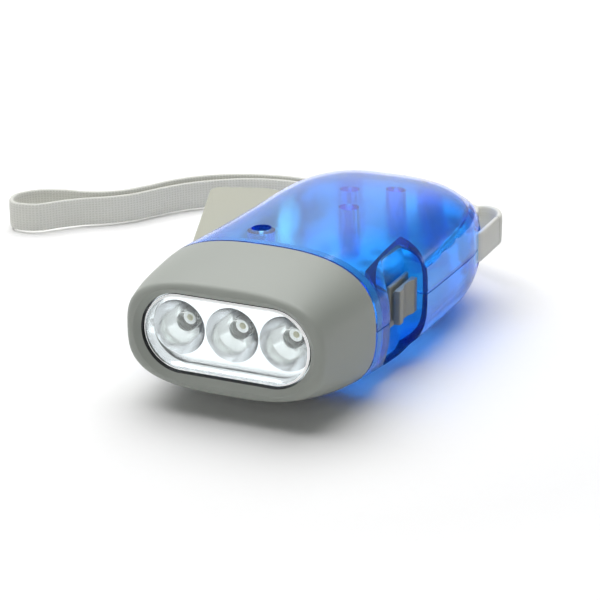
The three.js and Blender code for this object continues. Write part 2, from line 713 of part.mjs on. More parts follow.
// Plated moulding: a stadium pan with three parabolic bowls, each open to its LED
function reflector() {
  const width = WINDOW_WIDTH + 2 * REFLECTOR_MARGIN;
  const height = WINDOW_HEIGHT + 2 * REFLECTOR_MARGIN;
  let solid = stadiumSlab(width, height, reflectorFront, reflectorFront + REFLECTOR_RIM);
  const hole = LED_RADIUS + BORE_PLAY;
  const profile = [[0, bowlFront], [BOWL_RADIUS, bowlFront]];
  for (let i = 1; i <= BOWL_STEPS; i++) {
    const radius = BOWL_RADIUS + (hole - BOWL_RADIUS) * i / BOWL_STEPS;
    const share = (BOWL_RADIUS ** 2 - radius ** 2) / (BOWL_RADIUS ** 2 - hole ** 2);
    profile.push([radius, bowlFront + BOWL_DEPTH * share]);
  }
  profile.push([hole, bowlBack + OVERRUN], [0, bowlBack + OVERRUN]);
  const cupProfile = [
    [0, bowlFront],
    [BOWL_RADIUS + BOWL_WALL, bowlFront],
    [BOWL_RADIUS, bowlFront + BOWL_DEPTH / 2],
    [hole + BOWL_WALL, bowlBack],
    [0, bowlBack],
  ];
  for (const x of ledPlaces()) {
    solid = join(solid, turnedAlongY(cupProfile, x, AXIS_LIFT, ROUND_SIDES));
  }
  for (const x of [-LED_PITCH / 2, LED_PITCH / 2]) {
    const post = [
      [0, bowlFront],
      [POST_RADIUS, bowlFront],
      [POST_RADIUS, ledBoardFront - SEAT_GAP],
      [0, ledBoardFront - SEAT_GAP],
    ];
    solid = join(solid, turnedAlongY(post, x, AXIS_LIFT, ROUND_SIDES / 2));
  }
  const pan = loft([
    stadiumRing(WINDOW_WIDTH, WINDOW_HEIGHT, reflectorFront - PAN_DEPTH / 2),
    stadiumRing(WINDOW_WIDTH - 2 * PAN_SLOPE, WINDOW_HEIGHT - 2 * PAN_SLOPE, bowlFront),
  ]);
  solid = cut(solid, pan);
  for (const x of ledPlaces()) {
    solid = cut(solid, turnedAlongY(profile, x, AXIS_LIFT, ROUND_SIDES + ROUND_SIDES / 2));
  }
  return toGeometry(solid);
}

// Round LED with a flange at its foot, standing on its board
function ledBulb(x) {
  const back = ledBoardFront - SEAT_GAP;
  const tip = back - LED_LENGTH;
  const domeFoot = tip + LED_RADIUS;
  const profile = [[0, tip]];
  for (let i = 1; i <= LED_DOME_STEPS; i++) {
    const angle = Math.PI / 2 * i / LED_DOME_STEPS;
    profile.push([LED_RADIUS * Math.sin(angle), domeFoot - LED_RADIUS * Math.cos(angle)]);
  }
  profile.push(
    [LED_RADIUS, back - LED_FLANGE_THICKNESS],
    [LED_FLANGE_RADIUS, back - LED_FLANGE_THICKNESS],
    [LED_FLANGE_RADIUS, back],
    [0, back],
  );
  return toGeometry(turnedAlongY(profile, x, AXIS_LIFT, ROUND_SIDES));
}

function ledBoard() {
  const width = WINDOW_WIDTH - 2 * LED_BOARD_INSET;
  const height = WINDOW_HEIGHT - 2 * LED_BOARD_INSET;
  return toGeometry(stadiumSlab(width, height, ledBoardFront, ledBoardFront + LED_BOARD_THICKNESS));
}

// Both shells are cut from one housing, so that they meet all round the parting plane
function housingShells() {
  const outerRings = [];
  const hollowRings = [];
  const neckBack = HEAD_LENGTH + SPIGOT_LENGTH;
  for (let i = 0; i < NECK_SECTIONS; i++) {
    const share = i / NECK_SECTIONS;
    outerRings.push(sectionRing(shellFront + (neckBack - shellFront) * share, OUTER_POINTS));
    const front = shellFront - SHELL_WALL;
    hollowRings.push(sectionRing(front + (neckBack - front) * share, INNER_POINTS, SHELL_WALL));
  }
  const hollowBack = TORCH_LENGTH - SHELL_WALL;
  for (let i = 0; i <= BODY_SECTIONS; i++) {
    const share = Math.sin(Math.PI / 2 * i / BODY_SECTIONS);
    outerRings.push(sectionRing(neckBack + (TORCH_LENGTH - neckBack) * share, OUTER_POINTS));
    const station = neckBack + (hollowBack - neckBack) * share;
    hollowRings.push(sectionRing(station, INNER_POINTS, SHELL_WALL, SHELL_WALL * share));
  }
  const hollow = cut(loft(hollowRings), ...innerWalls());
  let housing = cut(loft(outerRings), hollow, ...housingOpenings());
  const ground = box(-TORCH_LENGTH, TORCH_LENGTH, -OVERRUN, 2 * TORCH_LENGTH, -TORCH_LENGTH, -SPLIT_HEIGHT);
  housing = cut(housing, ground);
  const half = PARTING_GAP / 2;
  const lowerSpace = box(-TORCH_LENGTH, TORCH_LENGTH, 0, 2 * TORCH_LENGTH, -TORCH_LENGTH, half);
  const upperSpace = box(-TORCH_LENGTH, TORCH_LENGTH, 0, 2 * TORCH_LENGTH, -half, TORCH_LENGTH);
  return { upper: toGeometry(cut(housing, lowerSpace)), lower: toGeometry(cut(housing, upperSpace)) };
}

// Bosses, recess floors and ribs that stay solid inside the shells
function innerWalls() {
  const roof = TOP_RISE;
  const floor = -BOTTOM_DROP;
  const walls = [
    rod(leverPivot.x, leverPivot.station, leverWindowHalf, roof, BOSS_RADIUS + SEAT_GAP),
    rod(leverPivot.x, leverPivot.station, floor, -leverWindowHalf, BOSS_RADIUS + SEAT_GAP),
    rod(firstAxis.x, firstAxis.station, firstGearHigh + SEAT_GAP, roof, BOSS_RADIUS),
    rod(firstAxis.x, firstAxis.station, floor, firstPinionLow - SEAT_GAP, BOSS_RADIUS),
    rod(secondAxis.x, secondAxis.station, secondGearHigh + SEAT_GAP, roof, BOSS_RADIUS),
    rod(rotorAxis.x, rotorAxis.station, rotorPinionHigh + SEAT_GAP, roof, BOSS_RADIUS),
    rod(rotorAxis.x, rotorAxis.station, floor, statorTop - CLAW_PLATE, BOSS_RADIUS),
  ];
  for (const screw of [NECK_SCREW, REAR_LEFT_SCREW, REAR_RIGHT_SCREW]) {
    walls.push(rod(screw.x, screw.station, floor, roof, SCREW_BOSS_RADIUS));
  }
  const statorSeat = rod(rotorAxis.x, rotorAxis.station, floor, STATOR_LOW - SEAT_GAP, 2 * BOSS_RADIUS);
  walls.push(statorSeat);
  const recess = roundedBox(
    RECESS_FRONT - SHELL_WALL, RECESS_BACK + SHELL_WALL,
    -RECESS_HALF_HEIGHT - SHELL_WALL, RECESS_HALF_HEIGHT + SHELL_WALL, RECESS_CORNER);
  walls.push(sideways(recess, RECESS_FLOOR_X - FLOOR_THICKNESS, HALF_WIDTH + OVERRUN));
  const lockRecess = roundedBox(
    LOCK_FRONT, LOCK_BACK + SHELL_WALL,
    -LOCK_HALF_HEIGHT - SHELL_WALL, LOCK_HALF_HEIGHT + SHELL_WALL, LOCK_CORNER);
  walls.push(sideways(lockRecess, -HALF_WIDTH - OVERRUN, LOCK_FLOOR_X + FLOOR_THICKNESS));
  const barReach = STRAP_WINDOW_HALF_HEIGHT + STRAP_BAR_OVERLAP;
  walls.push(rod(STRAP_BAR_X, STRAP_BAR_STATION, -barReach, barReach, STRAP_BAR_RADIUS));
  for (const x of [BOARD_LEFT + BOARD_POST_INSET, BOARD_RIGHT - BOARD_POST_INSET]) {
    for (const station of [BOARD_FRONT + BOARD_POST_INSET, BOARD_BACK - BOARD_POST_INSET]) {
      walls.push(rod(x, station, floor, BOARD_LOW - SEAT_GAP, POST_RADIUS, ROUND_SIDES / 2));
    }
  }
  const cradleTop = -CASE_HEIGHT / 2 - SEAT_GAP;
  for (const station of cradleStations()) {
    walls.push(box(
      caseRight - CASE_DEPTH + CRADLE_THICKNESS, RECESS_FLOOR_X,
      station, station + CRADLE_THICKNESS, floor, cradleTop));
  }
  return walls;
}

function caseFront() {
  return KNOB_STATION - KNOB_TRAVEL / 2 - CASE_LENGTH / 2;
}

function cradleStations() {
  const front = caseFront();
  return [front, front + CASE_LENGTH - CRADLE_THICKNESS];
}

// Everything that is cut through or into the shells
function housingOpenings() {
  const outside = HALF_WIDTH + OVERRUN;
  const openings = [box(
    -outside, leverPivot.x + LEVER_HUB_RADIUS,
    LEVER_WINDOW_FRONT, leverWindowBack, -leverWindowHalf, leverWindowHalf)];
  const recess = roundedBox(
    RECESS_FRONT, RECESS_BACK, -RECESS_HALF_HEIGHT, RECESS_HALF_HEIGHT, RECESS_CORNER);
  openings.push(sideways(recess, RECESS_FLOOR_X, outside));
  const slotHalf = STEM_LENGTH / 2 + SEAT_GAP;
  const slotHeight = STEM_HEIGHT / 2 + SEAT_GAP;
  openings.push(box(
    stemTip, RECESS_FLOOR_X + SEAT_GAP,
    KNOB_STATION - KNOB_TRAVEL - slotHalf, KNOB_STATION + slotHalf, -slotHeight, slotHeight));
  const lockRecess = roundedBox(
    LOCK_FRONT, LOCK_BACK, -LOCK_HALF_HEIGHT, LOCK_HALF_HEIGHT, LOCK_CORNER);
  openings.push(sideways(lockRecess, -outside, LOCK_FLOOR_X));
  const lockSlot = LOCK_BAR_HEIGHT / 2 + SEAT_GAP;
  openings.push(box(
    LOCK_FLOOR_X - SEAT_GAP, lockBarRight,
    lockStemBack - LOCK_STEM_LENGTH - LOCK_TRAVEL - SEAT_GAP, lockStemBack + SEAT_GAP,
    -lockSlot, lockSlot));
  openings.push(...pinSockets(), ...screwHoles(), ...strapOpenings());
  return openings;
}

function pinSockets() {
  const socket = PIN_RADIUS + BORE_PLAY / 2;
  const sockets = [];
  const upright = (axis, low, high, radius) => {
    sockets.push(rod(axis.x, axis.station, low, high, radius, ROUND_SIDES));
  };
  const leverSocket = LEVER_PIN_RADIUS + BORE_PLAY / 2;
  const leverReach = leverWindowHalf + LEVER_PIN_SOCKET;
  upright(leverPivot, -leverReach, leverReach, leverSocket);
  upright(firstAxis, firstPinionLow - SEAT_GAP - PIN_SOCKET, firstGearHigh + SEAT_GAP + PIN_SOCKET, socket);
  upright(secondAxis, secondGearHigh, secondGearHigh + SEAT_GAP + PIN_SOCKET, socket);
  upright(rotorAxis, STATOR_LOW, rotorPinionHigh + SEAT_GAP + PIN_SOCKET, socket);
  return sockets;
}

function screwHoles() {
  const bore = SCREW_RADIUS + BORE_PLAY;
  const shank = SCREW_POCKET_SEAT - SCREW_LENGTH - SEAT_GAP;
  const holes = [
    rod(NECK_SCREW.x, NECK_SCREW.station, SCREW_POCKET_SEAT, BOTTOM_DROP + OVERRUN, SCREW_POCKET_RADIUS),
    rod(NECK_SCREW.x, NECK_SCREW.station, shank, SCREW_POCKET_SEAT + SEAT_GAP, bore),
  ];
  for (const screw of [REAR_LEFT_SCREW, REAR_RIGHT_SCREW]) {
    const seat = -SCREW_POCKET_SEAT;
    holes.push(rod(screw.x, screw.station, -BOTTOM_DROP - OVERRUN, seat, SCREW_POCKET_RADIUS));
    holes.push(rod(screw.x, screw.station, seat - SEAT_GAP, -shank, bore));
  }
  return holes;
}

// Round clearance behind and outside the strap bar, and the slot where the inner ply leaves
function strapOpenings() {
  const reach = wrapRadius + STRAP_THICKNESS / 2 + SEAT_GAP;
  const half = STRAP_WINDOW_HALF_HEIGHT;
  const around = rod(STRAP_BAR_X, STRAP_BAR_STATION, -half, half, reach, LARGE_SIDES);
  const bar = rod(STRAP_BAR_X, STRAP_BAR_STATION, -half, half, STRAP_BAR_RADIUS);
  const slotHalf = STRAP_THICKNESS / 2 + SEAT_GAP;
  const innerPly = STRAP_BAR_X - wrapRadius;
  const outerPly = STRAP_BAR_X + wrapRadius;
  return [
    cut(around, bar),
    box(innerPly - slotHalf, innerPly + slotHalf, STRAP_BAR_STATION, TORCH_LENGTH + OVERRUN, -half, half),
    box(outerPly - slotHalf, outerPly + slotHalf, STRAP_BAR_STATION, TORCH_LENGTH + OVERRUN, -half, half),
  ];
}

// Moulded channel: an outer wall for the fingers, two plates that slide into the case and an end wall
function squeezeLever() {
  const outline = new THREE.Shape();
  outline.absarc(0, 0, LEVER_HUB_RADIUS, Math.PI, 2 * Math.PI, false);
  outline.lineTo(LEVER_WAIST_REACH, LEVER_WAIST);
  outline.lineTo(LEVER_REACH, LEVER_LENGTH - LEVER_END_CHAMFER);
  outline.lineTo(LEVER_REACH - 2 * LEVER_END_CHAMFER, LEVER_LENGTH);
  outline.lineTo(LEVER_CORNER - LEVER_FACE, LEVER_LENGTH);
  outline.absarc(
    LEVER_CORNER - LEVER_FACE, LEVER_LENGTH - LEVER_CORNER, LEVER_CORNER, Math.PI / 2, Math.PI, false);
  outline.lineTo(-LEVER_FACE, LEVER_SHOULDER);
  const plan = new THREE.Shape(outline.getPoints(ROUND_SIDES / 4));
  const cavity = new THREE.Shape();
  const inside = LEVER_WALL - LEVER_FACE;
  const beyond = LEVER_REACH + OVERRUN;
  const shoulder = -Math.max(SECTOR_HUB_RADIUS, SPRING_RADIUS + WIRE_RADIUS) - SEAT_GAP;
  cavity.moveTo(shoulder, -LEVER_HUB_RADIUS - OVERRUN);
  cavity.lineTo(beyond, -LEVER_HUB_RADIUS - OVERRUN);
  cavity.lineTo(beyond, LEVER_LENGTH - LEVER_WALL);
  cavity.lineTo(inside, LEVER_LENGTH - LEVER_WALL);
  cavity.lineTo(inside, LEVER_SHOULDER);
  cavity.lineTo(shoulder, 0);
  const gap = leverHalf - LEVER_PLATE;
  const bore = rod(0, 0, -leverHalf - OVERRUN, leverHalf + OVERRUN, LEVER_PIN_RADIUS + PIN_PLAY);
  const holeLeft = lockBarRight - LOCK_BAR_WIDTH - LOCK_HOLE_PLAY - leverPivot.x;
  const holeRight = lockBarRight + LOCK_HOLE_PLAY - leverPivot.x;
  const holeHalf = LOCK_BAR_HEIGHT / 2 + LOCK_HOLE_PLAY;
  const hole = box(
    holeLeft, holeRight, LEVER_LENGTH - 2 * LEVER_WALL, LEVER_LENGTH + OVERRUN, -holeHalf, holeHalf);
  const body = raised(plan, -leverHalf, leverHalf);
  return toGeometry(cut(body, raised(cavity, -gap, gap), bore, hole));
}

// Points of one tooth of a gear, anticlockwise, with involute flanks
function toothPoints(teeth, module, centre) {
  const pitch = module * teeth / 2;
  const pressure = THREE.MathUtils.degToRad(PRESSURE_ANGLE);
  const base = pitch * Math.cos(pressure);
  const tip = pitch + TOOTH_ADDENDUM_SHARE * module;
  const root = pitch - TOOTH_DEDENDUM_SHARE * module;
  const thickness = Math.PI * module / 2 - TOOTH_BACKLASH_SHARE * module;
  const involute = (radius) => {
    const slope = Math.acos(Math.min(base / radius, 1));
    return Math.tan(slope) - slope;
  };
  const half = (radius) => thickness / (2 * pitch) + involute(pitch) - involute(Math.max(radius, base));
  const start = Math.max(base, root);
  const radii = [root];
  for (let i = 0; i <= FLANK_STEPS; i++) {
    radii.push(start + (tip - start) * i / FLANK_STEPS);
  }
  if (root >= base) radii.shift();
  const rising = radii.map((radius) => [radius, centre - half(radius)]);
  const falling = radii.map((radius) => [radius, centre + half(radius)]).reverse();
  return [...rising, ...falling].map(([radius, angle]) =>
    new THREE.Vector2(radius * Math.cos(angle), radius * Math.sin(angle)));
}

// A full gear outline with one tooth centred on the given bearing
function gearShape(teeth, module, bearing) {
  const points = [];
  for (let i = 0; i < teeth; i++) {
    points.push(...toothPoints(teeth, module, bearing + 2 * Math.PI * i / teeth));
  }
  return new THREE.Shape(points);
}

// The bearing at which a pinion shows a gap to the tooth that comes from the other side
function gapBearing(bearing, teeth) {
  return THREE.MathUtils.degToRad(bearing) + Math.PI + Math.PI / teeth;
}

// Toothed sector on the lever, with its hub, its arm and a heel that bears on the lever's wall
function leverSector() {
  const toothAngle = 2 * Math.PI / SECTOR_FULL_TEETH;
  const meshBearing = THREE.MathUtils.degToRad(FIRST_GEAR_BEARING - LEVER_REST_ANGLE);
  const firstTooth = meshBearing - SECTOR_LEAD_TEETH * toothAngle;
  const points = [];
  for (let i = 0; i < SECTOR_TEETH; i++) {
    points.push(...toothPoints(SECTOR_FULL_TEETH, SECTOR_MODULE, firstTooth + i * toothAngle));
  }
  const start = firstTooth - toothAngle / 2;
  const end = firstTooth + (SECTOR_TEETH - 0.5) * toothAngle;
  const armStart = end - THREE.MathUtils.degToRad(SECTOR_ARM_ANGLE);
  const inner = sectorPitchRadius - SECTOR_MODULE - SECTOR_RIM;
  const root = sectorPitchRadius - TOOTH_DEDENDUM_SHARE * SECTOR_MODULE;
  const polar = (radius, angle) => new THREE.Vector2(radius * Math.cos(angle), radius * Math.sin(angle));
  const neck = SECTOR_NECK_RADIUS;
  points.unshift(polar(inner, start), polar(root, start));
  points.push(polar(root, end), polar(inner, end), polar(neck, end), polar(neck, armStart));
  for (let i = 0; i < SECTOR_RIM_STEPS; i++) {
    points.push(polar(inner, armStart + (start - armStart) * i / SECTOR_RIM_STEPS));
  }
  const high = SECTOR_LOW + SECTOR_THICKNESS;
  const top = leverHalf - LEVER_PLATE - SEAT_GAP;
  const plate = raised(new THREE.Shape(points), SECTOR_LOW, high);
  const hub = rod(0, 0, -top, high + SEAT_GAP, SECTOR_HUB_RADIUS);
  const sleeve = rod(0, 0, high, top, neck);
  const face = LEVER_WALL - LEVER_FACE + SEAT_GAP;
  const heelBack = LEVER_SHOULDER + SECTOR_HEEL_LENGTH / 2;
  const heel = box(face, neck, LEVER_SHOULDER, heelBack, SECTOR_LOW, high);
  const heelRoot = box(face + 2 * SEAT_GAP, neck, 0, SECTOR_HEEL_LENGTH, SECTOR_LOW, high);
  const bore = rod(0, 0, -top - OVERRUN, top + OVERRUN, LEVER_PIN_RADIUS + PIN_PLAY);
  return toGeometry(cut(join(plate, hub, sleeve, heel, heelRoot), bore));
}

// Upright pin through both lever plates, held in a boss of each shell
function leverPin() {
  const reach = leverWindowHalf + LEVER_PIN_SOCKET - SEAT_GAP;
  return toGeometry(rod(0, 0, -reach, reach, LEVER_PIN_RADIUS));
}

// Torsion spring: one leg along the lever's wall, the curls and one leg against the neck boss
function springPoints() {
  const along = LEVER_WALL - LEVER_FACE + WIRE_RADIUS + SEAT_GAP;
  const points = [
    new THREE.Vector3(along, SPRING_LEG, SPRING_LOW),
    new THREE.Vector3(along, SPRING_LEG / 2, SPRING_LOW),
  ];
  const steps = SPRING_TURNS * CURL_STEPS;
  const rest = THREE.MathUtils.degToRad(LEVER_REST_ANGLE);
  const sweep = 2 * Math.PI * SPRING_TURNS - Math.PI / 2 - rest;
  for (let i = 0; i <= steps; i++) {
    const angle = Math.PI + sweep * i / steps;
    const height = SPRING_LOW + SPRING_TURNS * SPRING_PITCH * i / steps;
    points.push(new THREE.Vector3(SPRING_RADIUS * Math.cos(angle), SPRING_RADIUS * Math.sin(angle), height));
  }
  return points;
}

function returnSpring() {
  const points = springPoints();
  const last = points[points.length - 1];
  const rest = THREE.MathUtils.degToRad(LEVER_REST_ANGLE);
  const reach = NECK_SCREW.x - leverPivot.x;
  const side = SCREW_BOSS_RADIUS + WIRE_RADIUS + SEAT_GAP;
  const end = new THREE.Vector3(reach, side, last.z);
  end.applyAxisAngle(new THREE.Vector3(0, 0, 1), -rest);
  points.push(last.clone().lerp(end, 0.5), end);
  const curls = points.slice(2, 2 + SPRING_TURNS * CURL_STEPS);
  console.log('return spring: least gap between curls', leastGap(curls).toFixed(2), 'mm');
  return tubeAlong(points, WIRE_RADIUS, WIRE_SIDES, points.length + CURL_STEPS);
}

// Least clear space between points of the wire that are at least half a turn apart
function leastGap(points) {
  let least = Infinity;
  for (let i = 0; i < points.length; i++) {
    for (let j = i + CURL_STEPS / 2; j < points.length; j++) {
      least = Math.min(least, points[i].distanceTo(points[j]) - 2 * WIRE_RADIUS);
    }
  }
  return least;
}

// Double gear: the drive pinion, a hub and a wheel with round holes in its web
function doubleGear(pinion, wheel, hub) {
  const pinionSolid = raised(gearShape(PINION_TEETH, pinion.module, pinion.bearing), pinion.low, pinion.high);
  let wheelSolid = raised(gearShape(wheel.teeth, wheel.module, wheel.bearing), wheel.low, wheel.high);
  const radius = wheel.module * wheel.teeth / 2;
  for (let i = 0; i < WEB_HOLES; i++) {
    const angle = 2 * Math.PI * (i + 0.5) / WEB_HOLES;
    const x = WEB_CIRCLE_SHARE * radius * Math.cos(angle);
    const y = WEB_CIRCLE_SHARE * radius * Math.sin(angle);
    const size = WEB_HOLE_SHARE * radius;
    const hole = rod(x, y, wheel.low - OVERRUN, wheel.high + OVERRUN, size, ROUND_SIDES / 2);
    wheelSolid = cut(wheelSolid, hole);
  }
  const low = Math.min(pinion.low, wheel.low);
  const high = Math.max(pinion.high, wheel.high);
  const hubSolid = rod(0, 0, hub.low, hub.high, hub.radius);
  const bore = rod(0, 0, low - OVERRUN, high + OVERRUN, PIN_RADIUS + PIN_PLAY);
  return toGeometry(cut(join(pinionSolid, wheelSolid, hubSolid), bore));
}

function firstGear() {
  const pinion = {
    module: SECTOR_MODULE,
    bearing: gapBearing(FIRST_GEAR_BEARING, PINION_TEETH),
    low: firstPinionLow,
    high: firstPinionHigh,
  };
  const wheel = {
    teeth: FIRST_WHEEL_TEETH,
    module: FIRST_WHEEL_MODULE,
    bearing: THREE.MathUtils.degToRad(SECOND_GEAR_BEARING),
    low: FIRST_WHEEL_LOW,
    high: firstGearHigh,
  };
  const hub = { low: firstPinionHigh - WHEEL_THICKNESS, high: firstGearHigh, radius: FIRST_HUB_RADIUS };
  return doubleGear(pinion, wheel, hub);
}

function secondGear() {
  const pinion = {
    module: FIRST_WHEEL_MODULE,
    bearing: gapBearing(SECOND_GEAR_BEARING, PINION_TEETH),
    low: secondPinionLow - SEAT_GAP,
    high: secondGearHigh,
  };
  const wheel = {
    teeth: SECOND_WHEEL_TEETH,
    module: SECOND_WHEEL_MODULE,
    bearing: THREE.MathUtils.degToRad(ROTOR_BEARING),
    low: SECOND_WHEEL_LOW,
    high: secondPinionLow,
  };
  const hub = { low: SECOND_WHEEL_LOW, high: secondPinionLow, radius: BOSS_RADIUS };
  return doubleGear(pinion, wheel, hub);
}

// Small pinion on top of the steel cup, with a collar over the disc and a sleeve through it
function rotorPinion() {
  const shape = gearShape(PINION_TEETH, SECOND_WHEEL_MODULE, gapBearing(ROTOR_BEARING, PINION_TEETH));
  const teeth = raised(shape, ROTOR_PINION_LOW - SEAT_GAP, rotorPinionHigh);
  const collar = rod(0, 0, CUP_TOP + SEAT_GAP, ROTOR_PINION_LOW, ROTOR_COLLAR_RADIUS);
  const sleeveLow = CUP_TOP - CUP_DISC - SEAT_GAP;
  const sleeve = rod(0, 0, sleeveLow, ROTOR_PINION_LOW, CUP_HOLE_RADIUS - BORE_PLAY);
  const bore = rod(0, 0, sleeveLow - OVERRUN, rotorPinionHigh + OVERRUN, PIN_RADIUS + PIN_PLAY);
  return toGeometry(cut(join(teeth, collar, sleeve), bore));
}

function rotorCup() {
  const inside = CUP_RADIUS - CUP_WALL;
  return toGeometry(turned([
    [CUP_HOLE_RADIUS, CUP_TOP],
    [CUP_RADIUS, CUP_TOP],
    [CUP_RADIUS, cupLow],
    [inside, cupLow],
    [inside, CUP_TOP - CUP_DISC],
    [CUP_HOLE_RADIUS, CUP_TOP - CUP_DISC],
    [CUP_HOLE_RADIUS, CUP_TOP],
  ]));
}

function ring(inner, outer, low, high, sides = LARGE_SIDES) {
  return turned([[inner, low], [outer, low], [outer, high], [inner, high], [inner, low]], sides);
}

function rotorMagnet() {
  return toGeometry(ring(magnetInner, magnetOuter, cupLow, CUP_TOP - CUP_DISC - SEAT_GAP));
}

// One claw plate of the stator: a disc with fingers that stand between those of the other plate
function statorClaw(plateLow, fingerLow, fingerHigh, phase) {
  const disc = ring(BOSS_RADIUS + BORE_PLAY, clawOuter, plateLow, plateLow + CLAW_PLATE, 2 * ROUND_SIDES);
  const half = THREE.MathUtils.degToRad(CLAW_ANGLE) / 2;
  let solid = disc;
  for (let i = 0; i < CLAW_COUNT; i++) {
    const middle = 2 * Math.PI * (i + phase) / CLAW_COUNT;
    const finger = new THREE.Shape();
    finger.absarc(0, 0, clawOuter, middle - half, middle + half, false);
    finger.absarc(0, 0, clawOuter - CLAW_PLATE, middle + half, middle - half, true);
    solid = join(solid, raised(new THREE.Shape(finger.getPoints(CLAW_STEPS)), fingerLow, fingerHigh));
  }
  return toGeometry(solid);
}

function coilBobbin() {
  const inner = BOSS_RADIUS + BORE_PLAY;
  const core = inner + BOBBIN_CORE_WALL;
  const outer = clawOuter - CLAW_PLATE - SEAT_GAP;
  const low = STATOR_LOW + CLAW_PLATE + SEAT_GAP;
  const high = statorTop - CLAW_PLATE - SEAT_GAP;
  return toGeometry(turned([
    [inner, low],
    [outer, low],
    [outer, low + BOBBIN_FLANGE],
    [core, low + BOBBIN_FLANGE],
    [core, high - BOBBIN_FLANGE],
    [outer, high - BOBBIN_FLANGE],
    [outer, high],
    [inner, high],
    [inner, low],
  ], 2 * ROUND_SIDES));
}

function coilWinding() {
  const inner = BOSS_RADIUS + BORE_PLAY + BOBBIN_CORE_WALL + SEAT_GAP;
  const outer = clawOuter - 2 * CLAW_PLATE;
  const low = STATOR_LOW + CLAW_PLATE + 2 * SEAT_GAP + BOBBIN_FLANGE;
  const high = statorTop - CLAW_PLATE - 2 * SEAT_GAP - BOBBIN_FLANGE;
  return toGeometry(ring(inner, outer, low, high, 2 * ROUND_SIDES));
}

function mainBoard() {
  return toGeometry(box(BOARD_LEFT, BOARD_RIGHT, BOARD_FRONT, BOARD_BACK, BOARD_LOW, boardTop));
}

// Button cell with the step between its can and its cap
function storageCell() {
  const x = BOARD_RIGHT - CELL_RADIUS;
  const station = BOARD_BACK - CELL_RADIUS - SEAT_GAP;
  const low = boardTop + SEAT_GAP;
  const high = low + CELL_THICKNESS;
  const can = rod(x, station, low, high - CELL_RIM, CELL_RADIUS, LARGE_SIDES);
  const cap = rod(x, station, low, high, CELL_RADIUS - CELL_RIM, LARGE_SIDES);
  return toGeometry(join(can, cap));
}

function diode(number) {
  const geometry = new THREE.CylinderGeometry(DIODE_RADIUS, DIODE_RADIUS, DIODE_LENGTH, ROUND_SIDES / 2);
  geometry.rotateZ(Math.PI / 2);
  const x = BOARD_LEFT + DIODE_LENGTH / 2 + number * (DIODE_LENGTH + SEAT_GAP) + DIODE_RADIUS;
  geometry.translate(x, BOARD_FRONT + DIODE_RADIUS, boardTop + SEAT_GAP + DIODE_RADIUS);
  return toGeometry(toSolid(geometry));
}

function capacitor() {
  const x = BOARD_RIGHT - CAPACITOR_RADIUS;
  const station = BOARD_FRONT + CAPACITOR_RADIUS;
  const low = boardTop + SEAT_GAP;
  return toGeometry(rod(x, station, low, low + CAPACITOR_HEIGHT, CAPACITOR_RADIUS));
}

// Ribbed thumb piece of the switch: cap, groove, flange and the stem with a pocket for the nub
function switchKnob() {
  const capBack = knobBack + KNOB_FLANGE + KNOB_GROOVE;
  const capFace = capBack + KNOB_CAP;
  const back = RECESS_BACK - SEAT_GAP;
  const middle = back - KNOB_LENGTH / 2 - SEAT_GAP;
  const block = (length, height, centre, low, high) =>
    box(low, high, centre - length / 2, centre + length / 2, -height / 2, height / 2);
  const flangeFace = knobBack + KNOB_FLANGE;
  const flangeMiddle = back - KNOB_FLANGE_LENGTH / 2;
  const flange = block(KNOB_FLANGE_LENGTH, KNOB_FLANGE_HEIGHT, flangeMiddle, knobBack, flangeFace);
  const slimmer = 2 * KNOB_GROOVE_DEPTH;
  const scoopFloor = capFace - KNOB_SCOOP_DEPTH;
  const neck = block(KNOB_LENGTH - slimmer, KNOB_HEIGHT - slimmer, middle, knobBack, scoopFloor);
  const cap = block(KNOB_LENGTH, KNOB_HEIGHT, middle, capBack, capFace);
  const stem = block(STEM_LENGTH, STEM_HEIGHT, KNOB_STATION, stemTip, flangeFace);
  const pocket = block(
    NUB_LENGTH + 2 * SEAT_GAP, NUB_HEIGHT + 2 * SEAT_GAP, KNOB_STATION,
    stemTip - SEAT_GAP, stemTip + NUB_ENGAGEMENT + SEAT_GAP);
  const scoopX = scoopFloor + KNOB_SCOOP_RADIUS;
  const scoop = rod(scoopX, middle, -KNOB_HEIGHT, KNOB_HEIGHT, KNOB_SCOOP_RADIUS, 2 * LARGE_SIDES);
  let knob = cut(join(flange, neck, cap, stem), pocket, scoop);
  const ribPitch = KNOB_LENGTH / (KNOB_RIBS + 1);
  const ribFloor = scoopFloor - KNOB_RIB_DEPTH;
  for (let i = 1; i <= KNOB_RIBS; i++) {
    const station = middle - KNOB_LENGTH / 2 + i * ribPitch;
    knob = cut(knob, block(KNOB_RIB_WIDTH, 2 * KNOB_HEIGHT, station, ribFloor, capFace + OVERRUN));
  }
  return toGeometry(knob);
}

function switchCase() {
  const front = caseFront();
  const half = CASE_HEIGHT / 2;
  const body = box(caseRight - CASE_DEPTH, caseRight, front, front + CASE_LENGTH, -half, half);
  const reach = NUB_LENGTH / 2 + SEAT_GAP;
  const slot = box(
    nubInner() - SEAT_GAP, caseRight + OVERRUN,
    KNOB_STATION - KNOB_TRAVEL - reach, KNOB_STATION + reach,
    -NUB_HEIGHT / 2 - SEAT_GAP, NUB_HEIGHT / 2 + SEAT_GAP);
  return toGeometry(cut(body, slot));
}

function nubInner() {
  return stemTip + NUB_ENGAGEMENT - NUB_DEPTH;
}

function switchNub() {
  return toGeometry(box(
    nubInner(), stemTip + NUB_ENGAGEMENT,
    KNOB_STATION - NUB_LENGTH / 2, KNOB_STATION + NUB_LENGTH / 2, -NUB_HEIGHT / 2, NUB_HEIGHT / 2));
}

